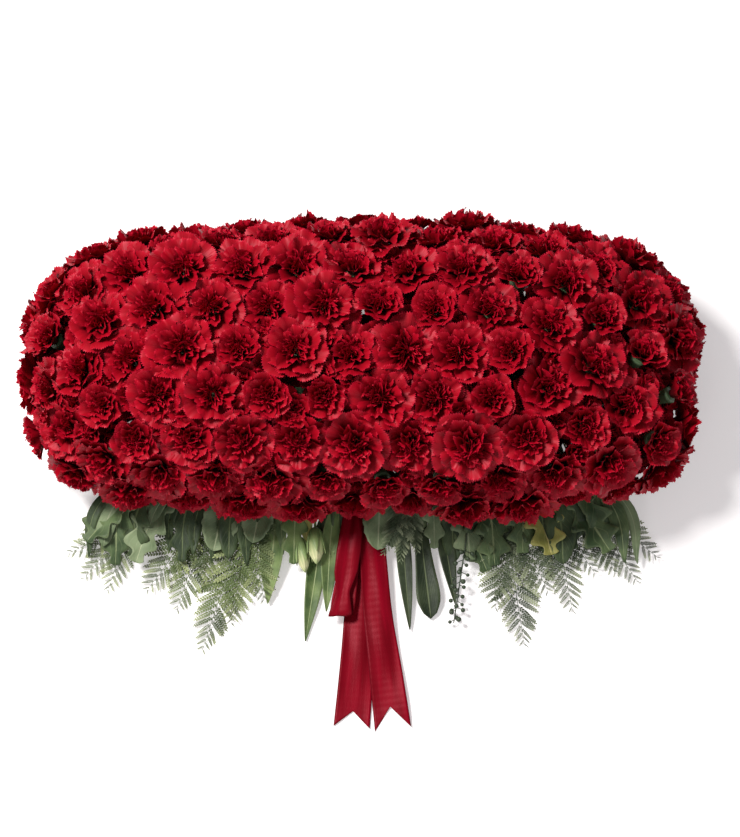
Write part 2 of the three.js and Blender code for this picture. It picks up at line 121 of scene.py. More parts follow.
class Bench:
    """A node tree with one way to add any node: its type, its settings, then its sockets."""

    def __init__(self, tree):
        self.tree = tree

    def add(self, kind, settings=None, sockets=None, out=0):
        node = self.tree.nodes.new(kind)
        for key, value in (settings or {}).items():
            if key == "stops":
                ramp = node.color_ramp
                while len(ramp.elements) < len(value):
                    ramp.elements.new(0.5)
                for stop, (at, colour) in zip(ramp.elements, value):
                    stop.position, stop.color = at, (*colour, 1)
            else:
                setattr(node, key, value)
        for key, value in (sockets or {}).items():
            if isinstance(value, Sum):
                self.tree.links.new(value.socket, node.inputs[key])
            else:
                node.inputs[key].default_value = value
        return Sum(self, node.outputs[out])

    def of(self, operation, value):
        return self.add("ShaderNodeMath", {"operation": operation}, {0: value})

    def sine(self, value):
        return self.of("SINE", value)

    def cosine(self, value):
        return self.of("COSINE", value)

    def fraction(self, value):
        return self.of("FRACT", value)

    def size_of(self, value):
        return self.of("ABSOLUTE", value)

    def smooth(self, value, low, high):
        """0 below low, 1 above high, and an even slope between."""
        limits = {"Value": value, "From Min": low, "From Max": high}
        return self.add("ShaderNodeMapRange", {"interpolation_type": "SMOOTHSTEP"}, limits)

    def mix(self, factor, a, b):
        settings = {"data_type": "RGBA"}
        return self.add("ShaderNodeMix", settings, {0: factor, 6: a, 7: b}, out=2)

    def attribute(self, name):
        return self.add("ShaderNodeAttribute", {"attribute_name": name}, {}, out=2)

    def vector(self, x, y, z):
        return self.add("ShaderNodeCombineXYZ", {}, {0: x, 1: y, 2: z})

    def place(self):
        return self.add("ShaderNodeTexCoord", out="Object")

    def noise(self, at, scale, detail):
        sockets = {"Vector": at, "Scale": scale, "Detail": detail}
        return self.add("ShaderNodeTexNoise", {}, sockets)

    def ramp(self, value, stops):
        return self.add("ShaderNodeValToRGB", {"stops": stops}, {0: value})

    def bump(self, strength, distance, height):
        sockets = {"Strength": strength, "Distance": distance, "Height": height}
        return self.add("ShaderNodeBump", {}, sockets)


def finish_bench(name):
    """A material with its shader node, and a bench to build on."""
    made = bpy.data.materials.new(name)
    made.use_nodes = True
    bench = Bench(made.node_tree)
    return made, bench, made.node_tree.nodes["Principled BSDF"]


def feed(bench, shader, **sockets):
    for key, value in sockets.items():
        bench.tree.links.new(value.socket, shader.inputs[key.replace("_", " ")])


def set_even(shader, **values):
    """Values that are the same all over the finish."""
    for key, value in values.items():
        shader.inputs[key.replace("_", " ")].default_value = value


# The floor is plain white board.
floor_paint, bench, shader = finish_bench("white_board")
set_even(shader, Base_Color=(0.82, 0.81, 0.815, 1), Roughness=0.9)
set_even(shader, Emission_Color=(1.0, 0.955, 0.955, 1), Emission_Strength=0.36)
floor_mesh = bpy.data.meshes.new("floor")
floor_mesh.from_pydata([(-9, -9, 0), (9, -9, 0), (9, 9, 0), (-9, 9, 0)], [], [(0, 1, 2, 3)])
floor_mesh.materials.append(floor_paint)
floor = bpy.data.objects.new("floor", floor_mesh)
bpy.context.collection.objects.link(floor)


# ---------- Carnation places ----------
# The blooms stand evenly over a pillow-shaped mound, 686 x 292 mm at their rims and 121 mm high.
# They push each other apart until the gaps are even, as a florist closes gaps by hand.
bloom_count = 120
mound_half = np.array([0.343, 0.146, 0.121])
plan_power, profile_power = 3.6, 2.4
mound_base = 0.066
bloom_pitch = 0.066
calyx_length = 0.032


def scatter(i, k):
    s = math.sin(i * 12.9898 + k * 78.233 + 1.7) * 43758.5453
    return s - math.floor(s)


def mound_value(p):
    q = np.abs(p / mound_half)
    plan = q[:, 0] ** plan_power + q[:, 1] ** plan_power
    return plan ** (profile_power / plan_power) + q[:, 2] ** profile_power


def mound_normal(p):
    q = np.abs(p / mound_half)
    plan = np.maximum(q[:, 0] ** plan_power + q[:, 1] ** plan_power, 1e-9)
    k = plan ** (profile_power / plan_power - 1)
    n = np.stack(
        [
            k * np.sign(p[:, 0]) * q[:, 0] ** (plan_power - 1) / mound_half[0],
            k * np.sign(p[:, 1]) * q[:, 1] ** (plan_power - 1) / mound_half[1],
            np.maximum(p[:, 2], 0) ** (profile_power - 1) / mound_half[2] ** profile_power,
        ],
        axis=1,
    )
    return n / np.linalg.norm(n, axis=1, keepdims=True)


def spiral(order, first, turned):
    """Even places on the mound, in a spiral down from its top."""
    up = 1 - (order + first) / len(order)
    turn = order * math.pi * (3 - math.sqrt(5)) + turned
    flat = np.sqrt(1 - up * up)
    p = mound_half * np.stack([flat * np.cos(turn), flat * np.sin(turn), up], axis=1)
    return p * mound_value(p)[:, None] ** (-1 / profile_power)


def push_from(p, others, reach, share):
    """How far each place is pushed by the others that are nearer than reach."""
    gap = p[:, None] - others[None]
    d = np.linalg.norm(gap, axis=2)
    near = (d < reach) & (d > 0)
    pushed = np.where(near, share * (reach - d) / np.where(near, d, 1), 0)
    return (gap * pushed[:, :, None]).sum(axis=1)


def slide(p, push):
    """Moves the places along the mound, without lifting them off it."""
    n = mound_normal(p)
    p += push - (push * n).sum(axis=1, keepdims=True) * n


def settle(p, steps):
    """Brings the places back to the mound's surface, and none below its foot."""
    test = 0.0005
    for step in range(steps):
        slope = mound_normal(p)
        ahead = mound_value(p + slope * test) - mound_value(p)
        p += slope * (test * (1 - mound_value(p)) / ahead)[:, None]
        p[:, 2] = np.maximum(p[:, 2], 0)


order = np.arange(bloom_count)
centres = spiral(order, 0.5, 0.0)
for round_ in range(2000):
    slide(centres, push_from(centres, centres, bloom_pitch, 0.3))
    centres[:, 2] = np.maximum(centres[:, 2], 0)
    settle(centres, 3)

bloom_axis = mound_normal(centres)
bloom_axis[:, 0] += [0.16 * (scatter(i, 1) - 0.5) for i in order]
bloom_axis[:, 1] += [0.16 * (scatter(i, 2) - 0.5) for i in order]
bloom_axis /= np.linalg.norm(bloom_axis, axis=1, keepdims=True)
bloom_rim = centres + bloom_axis * np.array([[0.007 * (scatter(i, 3) - 0.5)] for i in order])
bloom_rim[:, 2] += mound_base
bloom_neck = bloom_rim - bloom_axis * calyx_length

# Each bloom belongs to the CAD group whose mesh has a corner nearest to its top.
group_points = {}
for name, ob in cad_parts.items():
    if name.startswith("carnations_"):
        xyz = np.empty(len(ob.data.vertices) * 3)
        ob.data.vertices.foreach_get("co", xyz)
        group_points[name] = xyz.reshape(-1, 3)
bloom_height = 0.024
bloom_group = []
for i in order:
    top = bloom_rim[i] + bloom_axis[i] * bloom_height
    miss = {g: np.linalg.norm(p - top, axis=1).min() for g, p in group_points.items()}
    bloom_group.append(min(miss, key=miss.get))


# ---------- Carnation blooms ----------
# A standard carnation: about forty thin petals with pinked, ruffled margins on one calyx.
# Guard petals fold out flat; inner ones stand up, cup and crumple. Velvety, even red; the finish paints
# shade towards the petal bases and a sheen on the rims.
petal_cells = 8


def petal_blank(rows, steps):
    """One flat petal in its own measures: across -1..1, along 0..1, with two small teeth a step."""
    verts, faces = [], []
    for r in range(rows):
        v = 0.93 * (r / (rows - 1)) ** 0.8
        for c in range(steps + 1):
            verts.append((2 * c / steps - 1, v, 0))
    for r in range(rows - 1):
        for c in range(steps):
            a = r * (steps + 1) + c
            faces.append((a, a + 1, a + steps + 2, a + steps + 1))
    low = (rows - 1) * (steps + 1)
    edge = len(verts)
    for k in range(4 * steps + 1):
        tooth = (0.0, 1.0, 0.15, 0.85)[k % 4]
        verts.append((k / (2 * steps) - 1, 0.950 + 0.050 * tooth, 0))
    for c in range(steps):
        a, b, e = low + c, low + c + 1, edge + 4 * c
        faces += [(a, e + 1, e), (a, e + 2, e + 1), (a, b, e + 2)]
        faces += [(b, e + 3, e + 2), (b, e + 4, e + 3)]
    mesh = bpy.data.meshes.new("petal_blank")
    mesh.from_pydata(verts, [], faces)
    return mesh


def carnation_tree(petal_object, velvet):
    tree = bpy.data.node_groups.new("carnation", "GeometryNodeTree")
    face = tree.interface
    face.new_socket("Geometry", in_out="OUTPUT", socket_type="NodeSocketGeometry")
    named = {
        "Petals": "NodeSocketInt", "Size": "NodeSocketFloat", "Openness": "NodeSocketFloat",
        "Ruffle": "NodeSocketFloat", "Seed": "NodeSocketInt", "Turn": "NodeSocketVector",
        "Place": "NodeSocketVector",
    }
    for name, kind in named.items():
        face.new_socket(name, in_out="INPUT", socket_type=kind)
    bench = Bench(tree)
    inlet = tree.nodes.new("NodeGroupInput")
    want = {name: Sum(bench, inlet.outputs[name]) for name in named}
    line = bench.add("GeometryNodeMeshLine", {}, {"Count": want["Petals"], "Offset": (0, 0, 0)})
    blank = bench.add("GeometryNodeObjectInfo", {}, {"Object": petal_object}, out="Geometry")
    set_out = bench.add("GeometryNodeInstanceOnPoints", {}, {"Points": line, "Instance": blank})
    number = bench.add("GeometryNodeInputIndex")

    def store(shape, name, value, domain="POINT", kind="FLOAT"):
        sockets = {"Geometry": shape, "Name": name, "Value": value}
        settings = {"data_type": kind, "domain": domain}
        return bench.add("GeometryNodeStoreNamedAttribute", settings, sockets)

    def read(name):
        return bench.add("GeometryNodeInputNamedAttribute", {"data_type": "FLOAT"}, {"Name": name})

    set_out = store(set_out, "petal", number, "INSTANCE")
    petals = bench.add("GeometryNodeRealizeInstances", {}, {"Geometry": set_out})

    here = bench.add("GeometryNodeInputPosition")
    parts = tree.nodes.new("ShaderNodeSeparateXYZ")
    tree.links.new(here.socket, parts.inputs[0])
    across, along = Sum(bench, parts.outputs[0]), Sum(bench, parts.outputs[1])
    petals = store(store(petals, "across", across), "along", along)
    across, along, petal = read("across"), read("along"), read("petal")

    def chance(k, low, high):
        """A number that is the same all over one petal, from its order, the seed and the use."""
        s = bench.sine(petal * 12.9898 + want["Seed"] * 4.1414 + 78.233 * k) * 4375.85
        return bench.fraction(s) * (high - low) + low

    age = petal / (want["Petals"] - 1.0)
    guard = bench.smooth(age, 0.30, 0.90)
    lean = (0.10 + 0.60 * age + 0.55 * guard) * want["Openness"] + chance(1, -0.16, 0.16)
    start = (0.02 + 0.34 * age + 0.40 * guard) * want["Openness"]
    bend = lean - start + 0.2501
    long = 0.56 + 0.16 * age + 0.25 * guard + chance(2, -0.07, 0.07)
    rounded = along * (1.0 - (0.30 - 0.14 * guard) * across * across)
    here_lean = start + bend * rounded
    out = long / bend * (bench.cosine(start) - bench.cosine(here_lean)) + 0.05 + 0.07 * age
    rise = long / bend * (bench.sine(here_lean) - bench.sine(start)) - 0.12 - 0.18 * age
    half = 0.25 + 0.14 * age + 0.16 * guard + chance(3, -0.04, 0.05)
    side = across * half * (0.12 + 0.88 * rounded ** 0.9)
    loose = want["Ruffle"] * rounded ** 1.4
    waves = 5.6 - 2.4 * age + chance(4, -0.7, 0.9)
    wave = bench.sine(across * waves + chance(5, 0, 6.28)) * (0.080 - 0.016 * guard)
    frill = bench.sine(across * (waves * 2.3) + along * 2.0 + chance(6, 0, 6.28))
    wave = wave + frill * (0.045 - 0.008 * guard)
    crease = bench.size_of(across + chance(7, -0.5, 0.5)) - 0.5
    fold = crease * chance(8, -0.34, 0.38) * (1.0 - 0.62 * guard)
    shove = loose * (wave + fold)
    out = out + shove * bench.cosine(here_lean)
    rise = rise - shove * bench.sine(here_lean)
    turn_by = side / (out + 0.22 - 0.12 * age)
    around = petal * 2.39996 + chance(10, -0.22, 0.22) + turn_by
    x = out * bench.cosine(around)
    y = out * bench.sine(around)
    spot = bench.vector(x, y, rise)
    shaped = bench.add("GeometryNodeSetPosition", {}, {"Geometry": petals, "Position": spot})

    column = bench.fraction(petal / petal_cells) + (across * 0.45 + 0.5) / petal_cells
    row = (bench.of("FLOOR", petal / petal_cells + 0.001) + along * 0.9 + 0.05) / petal_cells
    shaped = store(shaped, "OFBake", bench.vector(column, row, 0.0), "CORNER", "FLOAT2")
    shaped = store(store(shaped, "age", age), "tint", chance(11, 0.0, 1.0))
    scale = bench.vector(want["Size"], want["Size"], want["Size"])
    stand = {"Translation": want["Place"], "Rotation": want["Turn"], "Scale": scale}
    shaped = bench.add("GeometryNodeTransform", {}, {"Geometry": shaped, **stand})
    shaped = bench.add("GeometryNodeSetShadeSmooth", {}, {"Geometry": shaped})
    shaped = bench.add("GeometryNodeRealizeInstances", {}, {"Geometry": shaped})
    shaped = bench.add("GeometryNodeSetMaterial", {}, {"Geometry": shaped, "Material": velvet})
    outlet = tree.nodes.new("NodeGroupOutput")
    tree.links.new(shaped.socket, outlet.inputs[0])
    return tree


velvet, bench, shader = finish_bench("carnation_petal")
along, across = bench.attribute("along"), bench.attribute("across")
age, tint = bench.attribute("age"), bench.attribute("tint")
grain_at = bench.vector(across * 3.0 + tint * 9.0, along * 1.2, age * 7.0)
streak_at = bench.vector(across * 14.0 + tint * 31.0, along * 1.6, age * 9.0)
streak = bench.noise(streak_at, 1.0, 3.0)
blotch = bench.noise(grain_at, 1.0, 2.0)
# Painted shade: the red darkens to near black towards each petal's base, deep in the bloom, less so on
# the inner petals; the blotches are real tone.
lit_and_shaded_reds = [
    (0.0, (0.008, 0.0002, 0.001)), (0.38, (0.07, 0.0004, 0.003)),
    (0.75, (0.33, 0.0010, 0.009)), (1.0, (0.47, 0.0020, 0.019)),
]
depth = bench.ramp(along * 0.86 + 0.16 * (1.0 - age) + (blotch - 0.5) * 0.26, lit_and_shaded_reds)
deep = bench.mix(streak * 0.35 * (0.4 + tint * 0.6), depth, (0.15, 0.0006, 0.005, 1))
# Painted sheen: the last stretch of each petal up to its pinked rim is lightened to pink.
edge = bench.add("ShaderNodeMapRange", {}, {"Value": along, 1: 0.93, 2: 1.0, 3: 0.0, 4: 0.48})
shade = bench.mix(edge, deep, (0.66, 0.014, 0.05, 1))
feed(bench, shader, Base_Color=shade, Roughness=0.38 + streak * 0.2)
bump = bench.bump(0.35, 0.0006, streak)
feed(bench, shader, Normal=bump)
set_even(shader, Specular_Tint=(1.0, 0.38, 0.44, 1), Specular_IOR_Level=0.40)

petal_object = bpy.data.objects.new("petal_blank", petal_blank(5, 8))
holder = bpy.data.objects.new("carnation_holder", bpy.data.meshes.new("carnation_holder"))
bpy.context.collection.objects.link(holder)
bpy.context.collection.objects.link(petal_object)


def growth(holder, tree):
    """A modifier that runs the tree, and the identifier of each of its inputs."""
    grow = holder.modifiers.new(tree.name, "NODES")
    grow.node_group = tree
    sockets = tree.interface.items_tree
    return grow, {s.name: s.identifier for s in sockets if s.in_out == "INPUT"}


def grown_mesh(holder, grow, ids, values):
    """The plain mesh that the tree makes of these values."""
    for key, value in values.items():
        grow[ids[key]] = value
    holder.update_tag()
    deps = bpy.context.evaluated_depsgraph_get()
    return bpy.data.meshes.new_from_object(holder.evaluated_get(deps), depsgraph=deps)


def set_piece(name, mesh, nodes=()):
    """A piece on the root body, standing for its CAD nodes."""
    piece = bpy.data.objects.new(name, mesh)
    bpy.context.collection.objects.link(piece)
    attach(piece, "root")
    if nodes:
        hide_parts(*nodes)
    return piece


grow, bloom_ids = growth(holder, carnation_tree(petal_object, velvet))


def grow_bloom(name, i, rim, axis, size, petals, openness, group):
    spin = Matrix.Rotation(scatter(i, 22) * 6.28, 3, "Z")
    facing = Vector(axis).to_track_quat("Z", "Y").to_matrix() @ spin
    values = {
        "Petals": petals, "Size": size, "Openness": openness, "Seed": int(i),
        "Ruffle": 0.95 + 0.3 * scatter(i, 26), "Turn": tuple(facing.to_euler()),
        "Place": tuple(rim),
    }
    set_piece(name, grown_mesh(holder, grow, bloom_ids, values), [group])


# Half open, open and full blown: the size, the openness and how far each stands out.
bloom_kinds = [(0.0302, 0.60, 0.002), (0.0370, 0.90, -0.003), (0.0412, 1.02, 0.001)]
shown_axis, shown_rim = bloom_axis.copy(), bloom_rim.copy()
for i in order:
    kind = 0 if scatter(i, 21) < 0.24 else 2 if scatter(i, 21) > 0.74 else 1
    size, openness, stand = bloom_kinds[kind]
    size += 0.003 * scatter(i, 23)
    openness += 0.14 * scatter(i, 25)
    petals = int(38 + 7 * scatter(i, 24))
    shown_axis[i] += [0.34 * (scatter(i, 27) - 0.5), 0.34 * (scatter(i, 28) - 0.5), 0]
    shown_axis[i] /= np.linalg.norm(shown_axis[i])
    shown_rim[i] += bloom_axis[i] * (stand + 0.007 * (scatter(i, 29) - 0.5))
    name = f"carnation_{i + 1:03d}"
    grow_bloom(name, i, shown_rim[i], shown_axis[i], size, petals, openness, bloom_group[i])

# Tight half-open blooms are tucked lower down wherever three open ones leave a gap.
# Little of them shows, so their petals have fewer faces.
petal_object.data = petal_blank(4, 5)
petal_object.update_tag()
tuck = np.arange(150)
gaps = spiral(tuck, 0.2, 1.0)
for round_ in range(600):
    push = push_from(gaps, centres, 0.042, 0.35) + push_from(gaps, gaps, 0.046, 0.10)
    slide(gaps, push)
    settle(gaps, 2)
room = np.linalg.norm(gaps[:, None] - centres[None], axis=2)
clear_of_blooms, clear_of_tucked = 0.0265, 0.030
kept = [g for g in tuck if room[g].min() > clear_of_blooms]
spaced = []
for g in sorted(kept, key=lambda g: -room[g].min()):
    if all(np.linalg.norm(gaps[g] - gaps[h]) > clear_of_tucked for h in spaced):
        spaced.append(g)


def sunk(place, axis, depth):
    """A rim below the mound's surface, back along the bloom's axis."""
    return place + np.array([0, 0, mound_base]) - axis * depth


for k, g in enumerate(sorted(spaced)):
    axis = mound_normal(gaps[g:g + 1])[0]
    axis[:2] += [0.3 * (scatter(g, 31) - 0.5), 0.3 * (scatter(g, 32) - 0.5)]
    axis /= np.linalg.norm(axis)
    rim = sunk(gaps[g], axis, 0.004 + 0.009 * scatter(g, 33))
    openness = 0.50 + 0.20 * scatter(g, 35)
    size = 0.023 + 0.004 * scatter(g, 34)
    group = bloom_group[int(room[g].argmin())]
    grow_bloom(f"tucked_bloom_{k + 1:02d}", 200 + g, rim, axis, size, 22, openness, group)

# Deeper rows of loosely opened blooms close what can still be seen between the stems.
loose_size, deep, deepest, shoulder = 0.040, 0.025, 0.034, 0.080
for k, g in enumerate(kept):
    axis = mound_normal(gaps[g:g + 1])[0]
    rim = sunk(gaps[g], axis, deep)
    group = bloom_group[int(room[g].argmin())]
    grow_bloom(f"deep_bloom_{k + 1:02d}", 400 + g, rim, axis, loose_size, 10, 1.0, group)
for i in [i for i in order if centres[i, 2] < shoulder]:
    axis = mound_normal(centres[i:i + 1])[0]
    rim = sunk(centres[i], axis, deepest)
    grow_bloom(f"inner_bloom_{i + 1:03d}", 700 + i, rim, axis, loose_size, 8, 1.05, bloom_group[i])
for spent in (holder, petal_object):
    bpy.data.objects.remove(spent)


# ---------- Stems and calyxes ----------
# Each bloom sits on a ribbed green calyx and a jointed stem, pushed into the wet foam.
# The stems' ends are where the CAD model's stems end inside the foam blocks.
stem_radius = 0.0024


def tube(line, radii, sides=8, ribs=0.0):
    """A closed tube along a line, with a radius at each place; ribs swell every other side."""
    line, n = np.asarray(line), len(line)
    tangent = np.gradient(line, axis=0)
    tangent /= np.linalg.norm(tangent, axis=1, keepdims=True)
    side = np.cross(tangent, [0.12, 0.05, 0.99])
    side /= np.linalg.norm(side, axis=1, keepdims=True)
    up = np.cross(side, tangent)
    angle = np.arange(sides) * 2 * math.pi / sides
    swell = 1 + ribs * (np.arange(sides) % 2)
    r = np.asarray(radii)[:, None, None] * swell[None, :, None]
    cos, sin = np.cos(angle)[None, :, None], np.sin(angle)[None, :, None]
    rings = line[:, None] + r * (side[:, None] * cos + up[:, None] * sin)
    verts = np.vstack([rings.reshape(-1, 3), line[:1], line[-1:]])
    faces = []
    for i in range(n - 1):
        for k in range(sides):
            a, b = i * sides + k, i * sides + (k + 1) % sides
            faces.append((a, a + sides, b + sides, b))
    for k in range(sides):
        a, b = k, (k + 1) % sides
        faces.append((a, b, n * sides))
        faces.append(((n - 1) * sides + b, (n - 1) * sides + a, n * sides + 1))
    return verts, faces


def joined(pieces):
    """One list of corners and one of faces from several."""
    verts, faces, start = [], [], 0
    for v, f in pieces:
        verts.append(np.asarray(v))
        faces += [tuple(k + start for k in face) for face in f]
        start += len(v)
    return np.vstack(verts), faces


def plain_mesh(name, verts, faces, corners):
    """A mesh with numbers stored at its corners, such as the share of a leaf's length."""
    mesh = bpy.data.meshes.new(name)
    mesh.from_pydata([tuple(v) for v in verts], [], faces)
    for key, values in corners.items():
        stored = mesh.attributes.new(key, "FLOAT", "POINT")
        stored.data.foreach_set("value", np.asarray(values, dtype=float))
    return mesh


def make_piece(name, verts, faces, finish, nodes=(), corners=None):
    """A smooth piece in one finish."""
    mesh = plain_mesh(name, verts, faces, corners or {})
    mesh.polygons.foreach_set("use_smooth", [True] * len(mesh.polygons))
    mesh.materials.append(finish)
    return set_piece(name, mesh, nodes)


shaded_stem_green, bench, shader = finish_bench("shaded_stem_green")
place = bench.place()
fleck = bench.noise(place, 260.0, 3.0)
patch = bench.noise(place, 30.0, 2.0)
# Painted shade: both greens are darker than a fresh calyx, standing for the shade under the blooms; the
# patches and flecks are real tone.
shade = bench.mix(patch, (0.030, 0.066, 0.026, 1), (0.095, 0.155, 0.070, 1))
shade = bench.mix(bench.smooth(fleck, 0.55, 0.75) * 0.4, shade, (0.17, 0.23, 0.13, 1))
feed(bench, shader, Base_Color=shade, Roughness=0.42 + fleck * 0.25)
feed(bench, shader, Normal=bench.bump(0.3, 0.0004, fleck))

foam_low = np.array(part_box("foam_block_left")[0])
foam_high = np.array(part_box("foam_block_right")[1])


def stem_ends(group):
    """Each stem of a CAD group: the middle of its cut end in the foam and of its next ring."""
    corners = group_points[group]
    in_foam = ((corners > foam_low) & (corners < foam_high - [0, 0.0005, 0.0005])).all(axis=1)
    ends = []
    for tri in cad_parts[group].data.polygons:
        for low in tri.vertices:
            for high in tri.vertices:
                if in_foam[low] and not in_foam[high]:
                    near = [e for e in ends if np.linalg.norm(e[0][0] - corners[low]) < 0.0065]
                    if not near:
                        near = [([], [])]
                        ends.append(near[0])
                    near[0][0].append(corners[low])
                    near[0][1].append(corners[high])
    return [(np.mean(lows, axis=0), np.mean(highs, axis=0)) for lows, highs in ends]


def off_line(end, neck):
    """How far a neck is from the line of a stem's end."""
    way = (end[1] - end[0]) / np.linalg.norm(end[1] - end[0])
    return np.linalg.norm(np.cross(neck - end[0], way))


knots = [1.0 + 0.45 * (k in (4, 8)) for k in range(13)]
calyx_heights = np.array([-0.034, -0.033, -0.029, -0.023, -0.017, -0.012, -0.009, -0.0085])
calyx_widths = np.array([0.0026, 0.0046, 0.0057, 0.0064, 0.0072, 0.0082, 0.0088, 0.0070])
for group in group_points:
    parts, spare = [], stem_ends(group)
    for i in [i for i in order if bloom_group[i] == group]:
        if not spare:
            break
        cut = min(range(len(spare)), key=lambda e: off_line(spare[e], bloom_neck[i]))
        tip = spare.pop(cut)[0]
        axis, rim = shown_axis[i], shown_rim[i]
        neck = rim - axis * calyx_length
        start = neck + axis * 0.002
        reach = np.linalg.norm(neck - tip)
        curve_in = neck - axis * 0.25 * reach * max(0.0, axis @ (neck - tip)) / reach
        t = np.linspace(0, 1, 13)[:, None]
        middle = 0.5 * curve_in + 0.25 * (neck + tip)
        line = (1 - t) ** 2 * start + 2 * t * (1 - t) * middle + t * t * tip
        parts.append(tube(line, stem_radius * np.array(knots)))
        calyx_line = rim + axis * calyx_heights[:, None]
        parts.append(tube(calyx_line, calyx_widths, sides=10, ribs=0.07))
    verts, faces = joined(parts)
    make_piece("stems_" + group[-2:], verts, faces, shaded_stem_green, [group])


# ---------- Fern fronds ----------
# Plumy fern: a thin midrib with alternating side ribs, each lined with tiny leaflets.
# The stalks are pushed into the foam at the front, and the fronds trail out over the table.
def smooth_line(points, steps):
    """A smooth line through the points, in millimetres, as evenly spaced places in metres."""
    p = np.array(points, dtype=float) / 1000
    p = np.vstack([2 * p[0] - p[1], p, 2 * p[-1] - p[-2]])
    fine = []
    for a, b, c, d in zip(p, p[1:], p[2:], p[3:]):
        for t in np.linspace(0, 1, 24, endpoint=False):
            bend = 2 * a - 5 * b + 4 * c - d + t * (3 * (b - c) + d - a)
            fine.append(b + 0.5 * t * (c - a + t * bend))
    fine = np.array(fine + [p[-2]])
    run = np.concatenate([[0], np.cumsum(np.linalg.norm(np.diff(fine, axis=0), axis=1))])
    at = np.linspace(0, run[-1], steps)
    return np.stack([np.interp(at, run, fine[:, k]) for k in range(3)], axis=1)


def green_points(x0, x1, y1, z1, x2, y2, z2):
    """A stalk in the foam's front at x0, out over the tray's edge, to a bend and a tip, in mm."""
    return [(x0, -33, 40), (x0, -55, 40), (x0, -71, 40), (x1, y1, z1), (x2, y2, z2)]


def side_rib():
    """One side rib a unit long, with nine pairs of folded leaflets and one at its tip."""
    verts, faces, shares = [], [], []

    def leaflet(at, way, long, wide, lift):
        way = np.array(way) / np.linalg.norm(way)
        across = np.array([-way[1], way[0], 0])
        base = np.array([0, at, 0])
        k = len(verts)
        middle = base + way * long * 0.5 + [0, 0, lift]
        verts.extend([base, middle + across * wide, base + way * long, middle - across * wide])
        faces.extend([(k, k + 2, k + 1), (k, k + 3, k + 2)])
        shares.extend([at, at, at + 0.1, at])

    for j in range(9):
        at = 0.08 + 0.098 * j
        long = 0.22 * (1 - 0.55 * at) * (0.75 + 0.25 * (j > 1))
        for hand in (-1, 1):
            leaflet(at + 0.02 * hand, (hand * 0.74, 0.67, 0.05), long, 0.046, 0.02)
    leaflet(0.93, (0.02, 1.0, 0), 0.12, 0.030, 0.01)
    for j in range(4):
        k, y, under = len(verts), 0.24 * j, -0.004
        verts.extend([(-0.012, y, under), (0.012, y, under)])
        verts.extend([(0.009, y + 0.24, under), (-0.009, y + 0.24, under)])
        faces.append((k, k + 1, k + 2, k + 3))
        shares.extend([y, y, y + 0.2, y + 0.2])
    return plain_mesh("side_rib", verts, faces, {"along": shares})


